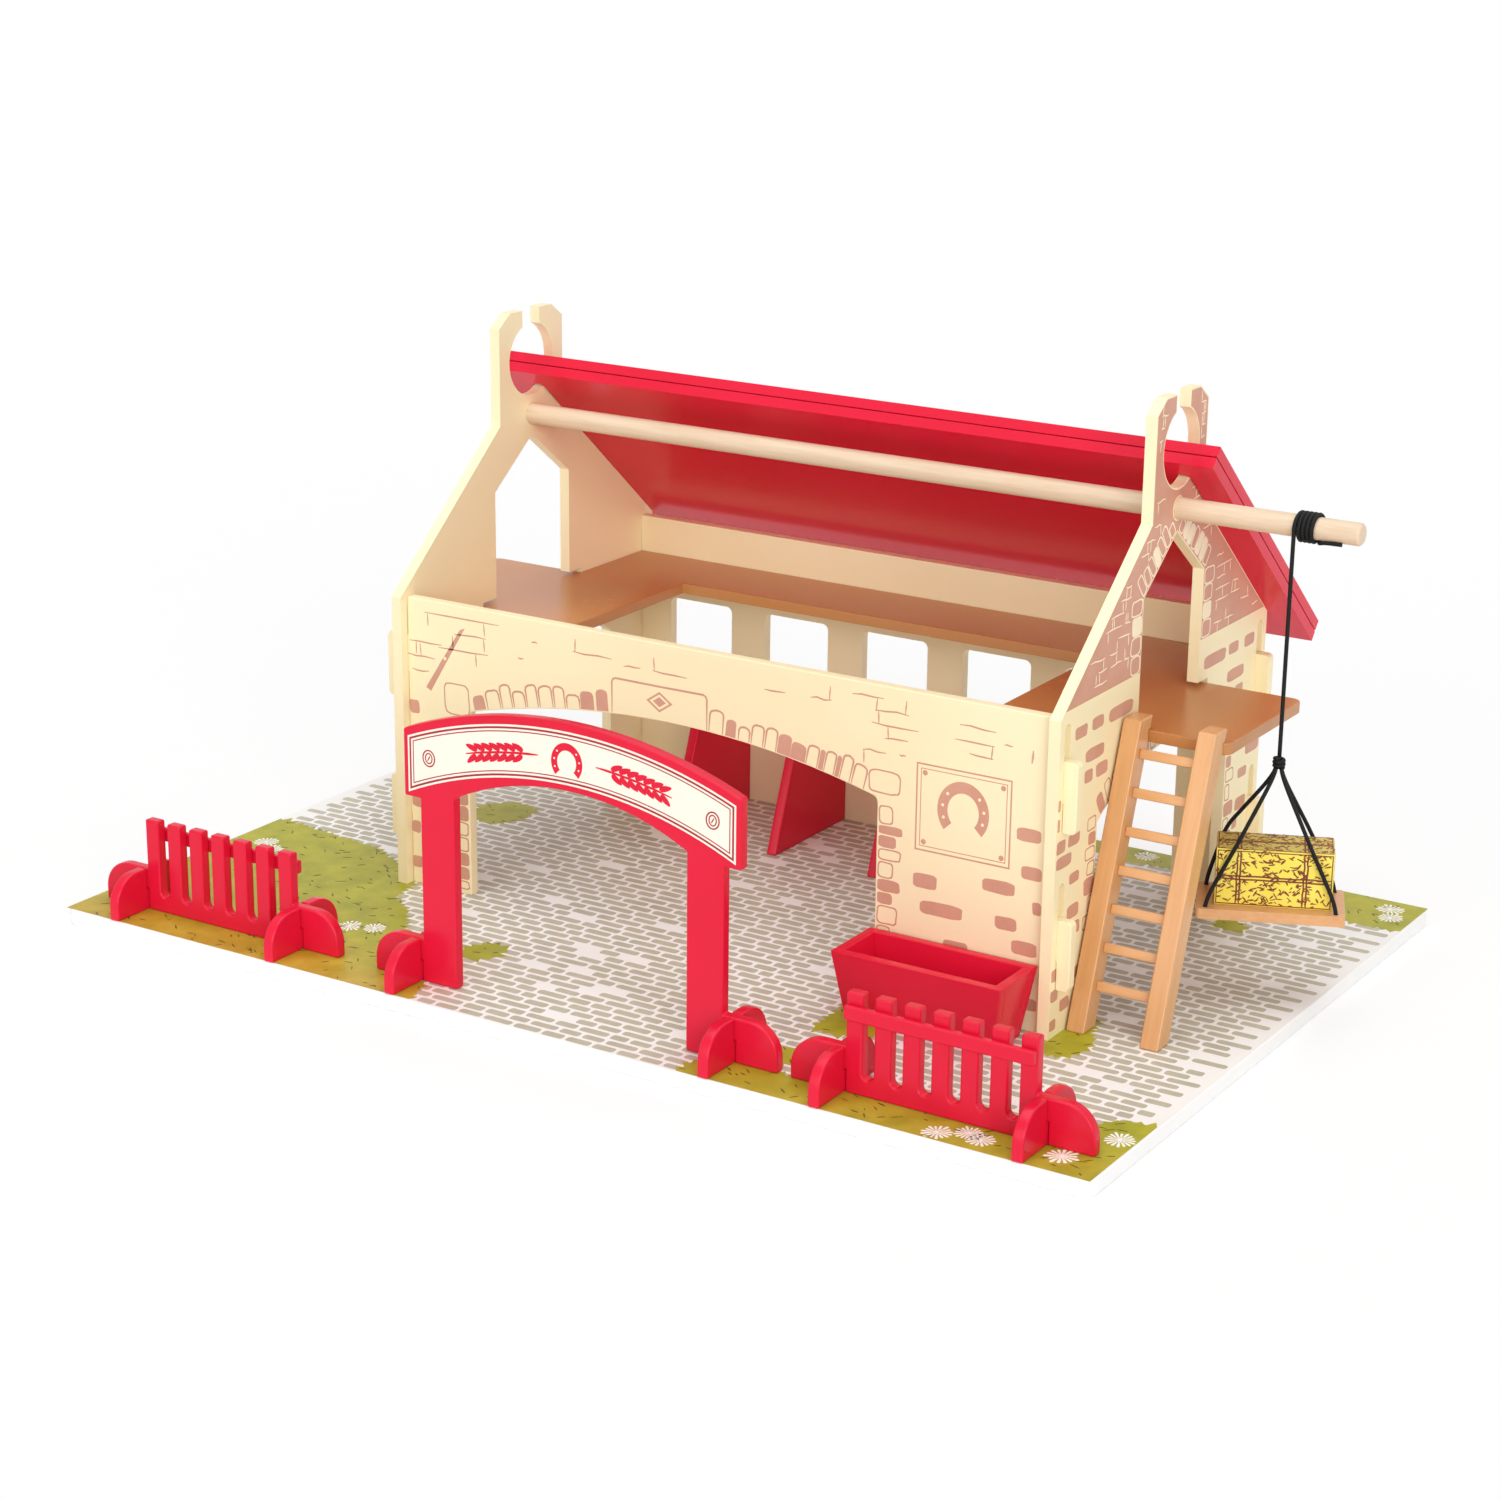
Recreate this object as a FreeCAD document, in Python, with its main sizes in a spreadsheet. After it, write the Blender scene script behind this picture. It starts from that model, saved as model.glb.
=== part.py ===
import FreeCAD, Part
import math
import os
import re
import Sketcher
from FreeCAD import Placement, Rotation, Vector

# A toy barn of painted boards on a base board, with a folding roof, a hoist and loose yard pieces.
# Lengths are in millimetres and angles in degrees. The origin is the middle of the base board's
# underside, +X to the right, +Y to the back, +Z up. The house is drawn in house coordinates:
# x from its middle, y from the front edges of the gables, z from the top of the base board.

SIZES = {
    # base board
    "base_length": 650.0,
    "base_depth": 435.6,
    "base_thickness": 9.0,
    "base_corner_radius": 9.0,
    # where the house stands on it
    "house_shift": 18.2,
    "house_setback": 139.5,
    # boards and fits
    "panel_thickness": 6.5,
    "board_fit": 0.2,
    "contact_gap": 0.1,
    # gables
    "house_width": 424.0,
    "house_depth": 254.4,
    "eave_height": 172.3,
    "roof_slope_angle": 40.35,
    "horn_half_width": 31.1,
    "horn_rise": 29.4,
    "horn_chamfer_width": 10.7,
    "horn_chamfer_height": 7.7,
    "keyhole_radius": 21.5,
    "slit_half_width": 8.3,
    "doorway_half_width": 80.5,
    "doorway_spring_height": 106.0,
    "doorway_crown_height": 129.0,
    "loft_door_half_width": 36.9,
    "loft_door_head_gap": 6.765,
    "loft_door_head_rise": 28.1,
    # hook tabs of the walls and their slots
    "wall_setback": 5.5,
    "lower_tab_height": 26.2,
    "upper_tab_height": 111.6,
    "tab_length": 38.3,
    "hook_drop": 15.4,
    "tab_reach": 8.0,
    "tab_corner_radius": 3.0,
    # front wall, its arch in shares of the house's width
    "wall_height": 172.0,
    "arch_shift_share": 0.0691,
    "arch_half_width_share": 0.31533,
    "arch_spring_height": 110.5,
    "arch_crown_height": 128.3,
    "arch_corner_radius": 4.0,
    # rear wall, its openings in shares of the house's width
    "window_width_share": 0.1066,
    "window_spacing_share": 0.16415,
    "first_window_share": 0.37854,
    "rear_door_start_share": 0.22005,
    "rear_door_width_share": 0.17382,
    "window_sill_height": 78.0,
    "window_head_height": 122.3,
    "window_corner_radius": 4.0,
    # stall dividers
    "first_divider_share": 0.29717,
    "divider_height": 80.0,
    "divider_top_reach": 53.4,
    "divider_foot_reach": 82.4,
    "divider_corner_radius": 10.0,
    # loft floor
    "loft_height": 149.6,
    "loft_well_half_width_share": 0.32783,
    "loft_rear_depth": 53.4,
    "landing_half_width": 48.3,
    "landing_reach": 57.0,
    "landing_corner_radius": 6.0,
    "landing_slot_play": 1.6,
    "loft_slot_headroom": 2.4,
    # roof panels
    "roof_overhang": 18.0,
    "eave_overhang": 37.6,
    "ridge_offset": 6.0,
    "roof_slot_play": 0.75,
    "roof_slot_end_gap": 0.5,
    # hoist beam
    "beam_radius": 6.0,
    "beam_fit": 0.06,
    "beam_below_ridge": 32.3,
    "beam_left_reach": 10.0,
    "beam_right_reach": 102.6,
    "beam_end_chamfer": 1.2,
    # cord of the hoist
    "cord_radius": 1.1,
    "cord_lay_gap": 0.05,
    "winding_start": 68.0,
    "winding_spacing": 2.76,
    "winding_lead": 2.8,
    "tail_length": 9.5,
    "tail_sweep": 4.5,
    "tail_rise": 1.5,
    "knot_middle_height": 131.0,
    "knot_height": 7.0,
    "knot_end_radius": 3.05,
    "knot_belly_radius": 3.6,
    "knot_belly_height": 3.4,
    "leg_start_length_offset": 1.45,
    "leg_start_depth_offset": 1.25,
    "leg_start_run": 2.6,
    "leg_start_bend_radius": 4.0,
    "leg_edge_gap": 1.5,
    "leg_edge_bend_radius": 14.0,
    "leg_foot_run": 3.5,
    "leg_foot_bend_radius": 9.0,
    "end_knot_radius": 2.4,
    "end_knot_height": 4.0,
    "end_knot_chamfer": 0.7,
    "knot_recess_depth": 4.2,
    "knot_recess_gap": 0.3,
    # platform and bale
    "platform_length": 77.6,
    "platform_depth": 41.7,
    "platform_thickness": 5.8,
    "platform_top_height": 55.0,
    "platform_turn_angle": 23.6,
    "platform_corner_radius": 2.0,
    "cord_hole_length_offset": 34.0,
    "cord_hole_depth_offset": 17.0,
    "cord_hole_radius": 1.4,
    "bale_length": 61.3,
    "bale_depth": 28.0,
    "bale_height": 31.3,
    "bale_length_shift": 1.1,
    "bale_depth_shift": 1.0,
    # ladder
    "ladder_gap": 1.5,
    "ladder_width": 52.5,
    "ladder_rail_width": 10.5,
    "ladder_rail_depth": 14.0,
    "ladder_foot_front": 17.0,
    "ladder_lean_angle": 18.4,
    "ladder_top_height": 157.0,
    "rung_thickness": 5.2,
    "rung_depth": 4.6,
    "first_rung_height": 20.9,
    "rung_spacing": 19.4,
    # trough
    "trough_length": 100.0,
    "trough_depth": 41.6,
    "trough_height": 38.5,
    "trough_inset": 6.0,
    "trough_thickness": 5.5,
    "trough_side_margin": 9.0,
    "trough_front_gap": 1.5,
    # fences and entrance arch, their widths and places in shares of the base's length
    "yard_margin": 25.5,
    "left_fence_margin_share": 0.14569,
    "right_fence_margin_share": 0.14754,
    "fence_foot_spacing_share": 0.17308,
    "foot_half_length_share": 0.04385,
    "foot_height": 24.5,
    "foot_corner_radius": 17.0,
    "fence_height": 54.0,
    "picket_width_share": 0.014615,
    "picket_slot_bottom": 9.0,
    "fence_rail_bottom": 40.2,
    "fence_rail_height": 7.8,
    "fence_rail_inset": 0.5,
    "fence_rail_thickness": 4.0,
    "entrance_shift": 9.5,
    "entrance_foot_spacing_share": 0.30615,
    "post_outer_half_width_share": 0.14646,
    "post_inner_half_width_share": 0.11231,
    "sign_half_width_share": 0.16231,
    "sign_ear_height": 103.8,
    "sign_end_height": 141.0,
    "sign_crown_height": 162.0,
    "soffit_spring_height": 107.5,
    "soffit_crown_height": 125.5,
    # share of the height that each half of a cross lap takes
    "lap_share": 0.5,
}
WINDOW_COUNT = 4
DIVIDER_COUNT = 3
PICKET_COUNT = 7
RUNG_COUNT = 7
WINDING_TURNS = 4
CORD_SIDES = 6
KNOT_SIDES = 8
QUARTER_TURN = 90.0
HALF_TURN = 180.0

doc = FreeCAD.newDocument("toy_barn")
sheet = doc.addObject("Spreadsheet::Sheet", "sizes")
for row, (name, value) in enumerate(SIZES.items(), start=1):
    sheet.set(f"A{row}", name)
    sheet.set(f"B{row}", str(value))
    sheet.setAlias(f"B{row}", name)
doc.recompute()


def bound(formula):
    """Point the size names in a formula at the cells of the sheet."""
    def cell(match):
        word = match.group(0)
        return "sizes." + word if word in SIZES else word
    return re.sub(r"[a-z_]+", cell, formula)


def number(formula):
    """Work a formula out from the sheet."""
    value = sheet.evalExpression(bound(formula))
    return float(getattr(value, "Value", value))


# Formulas that several pieces share.
MIDDLE = "house_depth/2"
HALF = "house_width/2"
INNER_HALF = "(house_width/2 - panel_thickness)"
RIDGE = ("(eave_height + house_depth/2*tan(roof_slope_angle)"
         " + (panel_thickness + contact_gap)/cos(roof_slope_angle))")
BEAM = f"({RIDGE} - beam_below_ridge)"
REAR_FACE = "(house_depth - wall_setback - panel_thickness)"
FRONT_FACE = "(wall_setback + panel_thickness)"
WINDING_RADIUS = "(beam_radius + cord_radius + cord_lay_gap)"
HOUSE = ("house_shift", "house_setback - base_depth/2", "base_thickness")
HOIST_X = f"(house_shift + {HALF} + winding_start)"
HOIST_Y = f"(house_setback - base_depth/2 + {MIDDLE} - {WINDING_RADIUS})"
PLATFORM_TOP = "(base_thickness + platform_top_height)"
TROUGH_X = "(house_width/2 - trough_side_margin - trough_length/2)"
TROUGH_Y = "(wall_setback - trough_front_gap - trough_depth/2)"
YARD_LINE = "(house_setback - yard_margin)"
FOOT_HALF = "(base_length*foot_half_length_share)"
FOOT_FLAT = f"({FOOT_HALF} - foot_corner_radius)"
FOOT_SHOULDER = "(foot_height - foot_corner_radius)"
FENCE_FOOT = "(base_length*fence_foot_spacing_share/2)"
PICKET = "(base_length*picket_width_share)"
ENTRANCE_FOOT = "(base_length*entrance_foot_spacing_share/2)"
POST_OUTER = "(base_length*post_outer_half_width_share)"
POST_INNER = "(base_length*post_inner_half_width_share)"
SIGN_HALF = "(base_length*sign_half_width_share)"

PLANES = {
    "XY_Plane": (Vector(1, 0, 0), Vector(0, 1, 0), Vector(0, 0, 1)),
    "XZ_Plane": (Vector(1, 0, 0), Vector(0, 0, 1), Vector(0, 1, 0)),
    "YZ_Plane": (Vector(0, 1, 0), Vector(0, 0, 1), Vector(1, 0, 0)),
}


def new_sketch(body, plane, name):
    """Start a sketch on one of the body's own origin planes."""
    sketch = body.newObject("Sketcher::SketchObject", name)
    support = [item for item in body.Origin.OriginFeatures if item.Role == plane]
    sketch.AttachmentSupport = [(support[0], "")]
    sketch.MapMode = "FlatFace"
    return sketch


def bind_point(sketch, geometry, position, formulas):
    """Hold a point of the sketch at two formulas from the sketch's origin."""
    for kind, formula in zip(("DistanceX", "DistanceY"), formulas):
        held = Sketcher.Constraint(kind, -1, 1, geometry, position, number(formula))
        sketch.setExpression(f"Constraints[{sketch.addConstraint(held)}]", bound(formula))


def arc_through(start, through, end):
    """Give the counterclockwise arc on three points, and whether it starts at the first of them."""
    circle = Part.Arc(start, through, end).toShape().Curve
    middle = circle.Center
    turn = (through - start).cross(end - through).z
    first, last = (start, end) if turn > 0 else (end, start)
    angles = [math.atan2(point.y - middle.y, point.x - middle.x) for point in (first, last)]
    flat = Part.Circle(middle, Vector(0, 0, 1), circle.Radius)
    return Part.ArcOfCircle(flat, angles[0], angles[1]), turn > 0


def draw_chain(sketch, chain):
    """Draw a closed chain. An entry is a corner, or a corner and the point its arc passes through."""
    spots = [Vector(number(entry[0]), number(entry[1]), 0) for entry in chain]
    ends = []
    bows = []
    for index, entry in enumerate(chain):
        start = spots[index]
        end = spots[(index + 1) % len(chain)]
        if len(entry) == 2:
            ends.append((sketch.addGeometry(Part.LineSegment(start, end), False), 1, 2))
            continue
        through = Vector(number(entry[2]), number(entry[3]), 0)
        arc, forward = arc_through(start, through, end)
        ends.append((sketch.addGeometry(arc, False),) + ((1, 2) if forward else (2, 1)))
        bows.append((ends[-1][0], through, entry[2:4]))
    for index, (geometry, first, last) in enumerate(ends):
        after = ends[(index + 1) % len(ends)]
        sketch.addConstraint(Sketcher.Constraint("Coincident", geometry, last, after[0], after[1]))
    for (geometry, first, last), entry in zip(ends, chain):
        bind_point(sketch, geometry, first, entry[:2])
    for geometry, through, formulas in bows:
        mark = sketch.addGeometry(Part.Point(through), True)
        sketch.addConstraint(Sketcher.Constraint("PointOnObject", mark, 1, geometry))
        bind_point(sketch, mark, 1, formulas)


def draw_circle(sketch, spot, radius):
    """Draw a circle at a point, both from formulas."""
    middle = Vector(number(spot[0]), number(spot[1]), 0)
    geometry = sketch.addGeometry(Part.Circle(middle, Vector(0, 0, 1), number(radius)), False)
    bind_point(sketch, geometry, 3, spot)
    held = Sketcher.Constraint("Radius", geometry, number(radius))
    sketch.setExpression(f"Constraints[{sketch.addConstraint(held)}]", bound(radius))


def place(item, spot, axis=None, angle=None):
    """Put an object at three formulas, turned about an axis by a fourth."""
    if axis:
        item.Placement = Placement(Vector(), Rotation(axis, number(angle)))
        item.setExpression("Placement.Rotation.Angle", bound(angle))
    for letter, formula in zip("xyz", spot):
        item.setExpression(f"Placement.Base.{letter}", bound(formula))


def board(label, plane, thickness, chains, spot, circles=(), back=False, axis=None, angle=None):
    """Make a board: an outline with its cut-outs, padded to the thickness from its plane."""
    body = doc.addObject("PartDesign::Body", label)
    body.Label = label
    sketch = new_sketch(body, plane, label + "_outline")
    for chain in chains:
        draw_chain(sketch, chain)
    for spot_of, radius in circles:
        draw_circle(sketch, spot_of, radius)
    pad = body.newObject("PartDesign::Pad", label + "_pad")
    pad.Profile = sketch
    pad.setExpression("Length", bound(thickness))
    pad.Reversed = (plane == "XZ_Plane") != back
    place(body, spot, axis, angle)
    doc.recompute()
    return body


def cut_through(body, plane, chain):
    """Cut a closed chain right through a board, both ways from its plane."""
    sketch = new_sketch(body, plane, body.Label + "_cut_outline")
    draw_chain(sketch, chain)
    before = body.Shape.Volume
    pocket = body.newObject("PartDesign::Pocket", body.Label + "_cut")
    pocket.Profile = sketch
    pocket.SideType = "Symmetric"
    pocket.Type = "ThroughAll"
    doc.recompute()
    if body.Shape.Volume > before * 0.999:
        raise RuntimeError(f"the cut in {body.Label} removed nothing")


def sink_rounds(body, plane, circles, depth):
    """Sink round recesses into a board from its plane."""
    sketch = new_sketch(body, plane, body.Label + "_recess_outline")
    for spot, radius in circles:
        draw_circle(sketch, spot, radius)
    before = body.Shape.Volume
    pocket = body.newObject("PartDesign::Pocket", body.Label + "_recess")
    pocket.Profile = sketch
    pocket.Reversed = True
    pocket.setExpression("Length", bound(depth))
    doc.recompute()
    if body.Shape.Volume > before * 0.999:
        raise RuntimeError(f"the recess in {body.Label} removed nothing")


def round_corners(body, plane, corners, radius):
    """Round the edges of a board that stand on the given corners of its outline."""
    across, upward, normal = PLANES[plane]
    spots = [across * number(corner[0]) + upward * number(corner[1]) for corner in corners]
    names = []
    solid = body.Tip
    for index, edge in enumerate(solid.Shape.Edges, start=1):
        run = edge.Vertexes[-1].Point - edge.Vertexes[0].Point
        if run.Length == 0 or run.normalize().cross(normal).Length > 1e-6:
            continue
        point = edge.Vertexes[0].Point
        flat = point - normal * point.dot(normal)
        if any((flat - spot).Length < 1e-3 for spot in spots):
            names.append(f"Edge{index}")
    if len(names) != len(corners):
        raise RuntimeError(f"{body.Label}: {len(names)} edges for {len(corners)} corners")
    fillet = body.newObject("PartDesign::Fillet", body.Label + "_rounding")
    fillet.Base = (solid, names)
    fillet.setExpression("Radius", bound(radius))
    doc.recompute()


def shifted(spot, change):
    """Add a change to each formula of a point."""
    return tuple(f"{one} + {two}" for one, two in zip(spot, change))


def mirrored(chain):
    """Continue a half outline with its mirror image across the middle."""
    return chain + [(f"-({entry[0]})", entry[1]) for entry in reversed(chain)]


# The base board.
BASE_CORNERS = [
    ("-base_length/2", "-base_depth/2"),
    ("base_length/2", "-base_depth/2"),
    ("base_length/2", "base_depth/2"),
    ("-base_length/2", "base_depth/2"),
]
base = board("base_board", "XY_Plane", "base_thickness", [BASE_CORNERS], ("0", "0", "0"))
round_corners(base, "XY_Plane", BASE_CORNERS, "base_corner_radius")


# The gables: doorway, loft door over the slot of the loft floor, beam hole and keyhole.
def wall_slot(near, far, tab_height):
    """Outline a slot that a hook tab drops into, with a round upper end."""
    low = f"{tab_height} + hook_drop"
    top = f"{tab_height} + hook_drop + tab_length + board_fit"
    rise = "panel_thickness/2 + board_fit"
    return [
        (near, low),
        (far, low),
        (far, top, f"({near} + {far})/2", f"{top} + {rise}"),
        (near, top),
    ]


def gable(label, shift):
    """Make a gable with its inner or outer face at the shift from the middle of the house."""
    slit_top = f"{RIDGE} + sqrt(keyhole_radius^2 - slit_half_width^2)"
    horn_top = f"{RIDGE} + horn_rise"
    shoulder = f"{RIDGE} + horn_rise - horn_chamfer_height"
    kink = f"eave_height + ({MIDDLE} - horn_half_width)*tan(roof_slope_angle)"
    floor_low = "loft_height - panel_thickness"
    floor_high = "loft_height + loft_slot_headroom"
    slot_half = "landing_half_width + landing_slot_play"
    door_peak = f"{BEAM} - beam_radius - beam_fit - loft_door_head_gap"
    door_shoulder = f"{door_peak} - loft_door_head_rise"
    outline = [
        ("0", "0"),
        (f"{MIDDLE} - doorway_half_width", "0"),
        (f"{MIDDLE} - doorway_half_width", "doorway_spring_height", MIDDLE, "doorway_crown_height"),
        (f"{MIDDLE} + doorway_half_width", "doorway_spring_height"),
        (f"{MIDDLE} + doorway_half_width", "0"),
        ("house_depth", "0"),
        ("house_depth", "eave_height"),
        (f"{MIDDLE} + horn_half_width", kink),
        (f"{MIDDLE} + horn_half_width", shoulder),
        (f"{MIDDLE} + horn_half_width - horn_chamfer_width", horn_top),
        (f"{MIDDLE} + slit_half_width", horn_top),
        (f"{MIDDLE} + slit_half_width", slit_top, MIDDLE, f"{RIDGE} - keyhole_radius"),
        (f"{MIDDLE} - slit_half_width", slit_top),
        (f"{MIDDLE} - slit_half_width", horn_top),
        (f"{MIDDLE} - horn_half_width + horn_chamfer_width", horn_top),
        (f"{MIDDLE} - horn_half_width", shoulder),
        (f"{MIDDLE} - horn_half_width", kink),
        ("0", "eave_height"),
    ]
    loft_door = [
        (f"{MIDDLE} - ({slot_half})", floor_low),
        (f"{MIDDLE} + {slot_half}", floor_low),
        (f"{MIDDLE} + {slot_half}", floor_high),
        (f"{MIDDLE} + loft_door_half_width", floor_high),
        (f"{MIDDLE} + loft_door_half_width", door_shoulder),
        (MIDDLE, door_peak),
        (f"{MIDDLE} - loft_door_half_width", door_shoulder),
        (f"{MIDDLE} - loft_door_half_width", floor_high),
        (f"{MIDDLE} - ({slot_half})", floor_high),
    ]
    chains = [outline, loft_door]
    for tab in ("lower_tab_height", "upper_tab_height"):
        chains.append(wall_slot("wall_setback - board_fit", f"{FRONT_FACE} + board_fit", tab))
        chains.append(wall_slot(f"{REAR_FACE} - board_fit", "house_depth - wall_setback + board_fit", tab))
    beam_hole = ((MIDDLE, BEAM), "beam_radius + beam_fit")
    return board(label, "YZ_Plane", "panel_thickness", chains, shifted(HOUSE, (shift, "0", "0")), [beam_hole])


gable("gable_left", f"-({HALF})")
gable("gable_right", INNER_HALF)


# The front and rear walls, held by hook tabs.
def tabbed_end():
    """Go up the right end of a wall, round its two hook tabs."""
    edge = f"{INNER_HALF} - board_fit"
    hook = f"{HALF} + board_fit"
    tip = f"{HALF} + tab_reach"
    corners = []
    for tab in ("lower_tab_height", "upper_tab_height"):
        corners.append((edge, f"{tab} + hook_drop"))
        corners.append((hook, f"{tab} + hook_drop"))
        corners.append((hook, tab))
        corners.append((tip, tab))
        corners.append((tip, f"{tab} + tab_length"))
        corners.append((edge, f"{tab} + tab_length"))
    return corners


def tab_tips():
    """List the outer corners of a wall's four hook tabs."""
    tips = [corner for corner in tabbed_end() if "tab_reach" in corner[0]]
    return tips + [(f"-({corner[0]})", corner[1]) for corner in tips]


RIGHT_END = [(f"{INNER_HALF} - board_fit", "0")] + tabbed_end() + [(f"{INNER_HALF} - board_fit", "wall_height")]
ARCH_MIDDLE = "-house_width*arch_shift_share"
ARCH_LEFT = f"{ARCH_MIDDLE} - house_width*arch_half_width_share"
ARCH_RIGHT = f"{ARCH_MIDDLE} + house_width*arch_half_width_share"
ARCH = [
    (ARCH_LEFT, "0"),
    (ARCH_LEFT, "arch_spring_height", ARCH_MIDDLE, "arch_crown_height"),
    (ARCH_RIGHT, "arch_spring_height"),
    (ARCH_RIGHT, "0"),
]
front = board("front_wall", "XZ_Plane", "panel_thickness", [mirrored(RIGHT_END) + ARCH],
              shifted(HOUSE, ("0", "wall_setback", "0")))
round_corners(front, "XZ_Plane", tab_tips(), "tab_corner_radius")
round_corners(front, "XZ_Plane", [ARCH[1][:2], ARCH[2]], "arch_corner_radius")

REAR_DOOR_START = "house_width*rear_door_start_share"
REAR_DOOR_END = f"{REAR_DOOR_START} + house_width*rear_door_width_share"
REAR_DOOR = [
    (REAR_DOOR_START, "0"),
    (REAR_DOOR_START, "window_head_height"),
    (REAR_DOOR_END, "window_head_height"),
    (REAR_DOOR_END, "0"),
]
WINDOW_HALF = "house_width*window_width_share/2"
windows = []
for index in range(WINDOW_COUNT):
    middle = f"house_width*({index}*window_spacing_share - first_window_share)"
    windows.append([
        (f"{middle} - {WINDOW_HALF}", "window_sill_height"),
        (f"{middle} + {WINDOW_HALF}", "window_sill_height"),
        (f"{middle} + {WINDOW_HALF}", "window_head_height"),
        (f"{middle} - {WINDOW_HALF}", "window_head_height"),
    ])
rear = board("rear_wall", "XZ_Plane", "panel_thickness", [mirrored(RIGHT_END) + REAR_DOOR] + windows,
             shifted(HOUSE, ("0", REAR_FACE, "0")))
round_corners(rear, "XZ_Plane", tab_tips(), "tab_corner_radius")
WINDOW_CORNERS = [corner for window in windows for corner in window]
round_corners(rear, "XZ_Plane", WINDOW_CORNERS + REAR_DOOR[1:3], "window_corner_radius")

# The loft floor: a U round the open hall, with a landing out through each gable.
FLOOR_SIDE = f"{INNER_HALF} - board_fit"
FLOOR_FRONT = f"{FRONT_FACE} + board_fit"
FLOOR_REAR = f"{REAR_FACE} - board_fit"
LANDING_SIDE = f"{HALF} + landing_reach"
LANDING_FRONT = f"{MIDDLE} - landing_half_width"
LANDING_REAR = f"{MIDDLE} + landing_half_width"
WELL_SIDE = "house_width*loft_well_half_width_share"
right_half = [
    (WELL_SIDE, f"{REAR_FACE} - loft_rear_depth"),
    (WELL_SIDE, FLOOR_FRONT),
    (FLOOR_SIDE, FLOOR_FRONT),
    (FLOOR_SIDE, LANDING_FRONT),
    (LANDING_SIDE, LANDING_FRONT),
    (LANDING_SIDE, LANDING_REAR),
    (FLOOR_SIDE, LANDING_REAR),
    (FLOOR_SIDE, FLOOR_REAR),
]
loft = board("loft_floor", "XY_Plane", "panel_thickness", [mirrored(right_half)],
             shifted(HOUSE, ("0", "0", "loft_height - panel_thickness")))
landing_corners = [corner for corner in mirrored(right_half) if "landing_reach" in corner[0]]
round_corners(loft, "XY_Plane", landing_corners, "landing_corner_radius")

# The stall dividers stand on the base board against the rear wall.
DIVIDER = [
    ("-divider_foot_reach", "0"),
    ("0", "0"),
    ("0", "divider_height"),
    ("-divider_top_reach", "divider_height"),
]
for index in range(DIVIDER_COUNT):
    middle = f"house_width*({index}*window_spacing_share - first_divider_share)"
    spot = (f"{middle} - panel_thickness/2", REAR_FACE, "0")
    divider = board(f"stall_divider_{index + 1}", "YZ_Plane", "panel_thickness", [DIVIDER], shifted(HOUSE, spot))
    round_corners(divider, "YZ_Plane", [DIVIDER[3]], "divider_corner_radius")


# The roof panels fold about the middle of the keyholes, their outer faces through that axis.
def horn_slot(side):
    """Outline the slot that clears the horns of one gable, with round ends."""
    middle = f"{side}*(house_width/2 - panel_thickness/2)"
    bow = "(panel_thickness/2 + roof_slot_play)"
    depth = f"sqrt({bow}^2 - (panel_thickness/2)^2)"
    near = f"(sqrt((keyhole_radius - roof_slot_end_gap)^2 - (panel_thickness + contact_gap)^2) + {depth})"
    horn = "horn_half_width + roof_slot_end_gap + panel_thickness*sin(roof_slope_angle)"
    far = f"(({horn})/cos(roof_slope_angle) - {depth})"
    left = f"{middle} - {bow}"
    right = f"{middle} + {bow}"
    return [
        (left, near, middle, f"{near} - {bow}"),
        (right, near),
        (right, far, middle, f"{far} + {bow}"),
        (left, far),
    ]


ROOF_HALF = "(house_width/2 + roof_overhang)"
ROOF_REACH = f"{MIDDLE}/cos(roof_slope_angle) + eave_overhang"
ROOF = [
    (f"-{ROOF_HALF}", "ridge_offset"),
    (ROOF_HALF, "ridge_offset"),
    (ROOF_HALF, ROOF_REACH),
    (f"-{ROOF_HALF}", ROOF_REACH),
]
ROOF_CHAINS = [ROOF, horn_slot(-1), horn_slot(1)]
RIDGE_SPOT = shifted(HOUSE, ("0", MIDDLE, RIDGE))
FOLD_LIFT = ("0", "contact_gap*sin(roof_slope_angle)", "contact_gap*cos(roof_slope_angle)")
board("roof_rear", "XY_Plane", "panel_thickness", ROOF_CHAINS, RIDGE_SPOT, back=True,
      axis=Vector(1, 0, 0), angle="-roof_slope_angle")
board("roof_front", "XY_Plane", "panel_thickness", ROOF_CHAINS, shifted(RIDGE_SPOT, FOLD_LIFT),
      axis=Vector(1, 0, 0), angle="-roof_slope_angle")

# The hoist beam runs through both gables.
beam = board("hoist_beam", "YZ_Plane", "house_width + beam_left_reach + beam_right_reach", [],
             shifted(HOUSE, (f"-({HALF}) - beam_left_reach", MIDDLE, BEAM)), [(("0", "0"), "beam_radius")])
rod = beam.Tip
rims = [f"Edge{n}" for n, edge in enumerate(rod.Shape.Edges, start=1) if len(edge.Vertexes) == 1]
beam_ends = beam.newObject("PartDesign::Chamfer", "hoist_beam_ends")
beam_ends.Base = (rod, rims)
beam_ends.setExpression("Size", bound("beam_end_chamfer"))
doc.recompute()


# The cord of the hoist.
def arc_from(start, heading, end):
    """Give the arc that leaves a point along a heading and reaches another, and its last heading."""
    chord = end - start
    away = chord - heading * chord.dot(heading)
    if away.Length < 1e-9:
        return Part.LineSegment(start, end), heading
    away.normalize()
    radius = chord.dot(chord) / (2 * chord.dot(away))
    centre = start + away * radius
    half = math.atan2(chord.dot(away), chord.dot(heading))
    through = centre - away * (radius * math.cos(half)) + heading * (radius * math.sin(half))
    last = heading * math.cos(2 * half) + away * math.sin(2 * half)
    return Part.Arc(start, through, end), last


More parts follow.
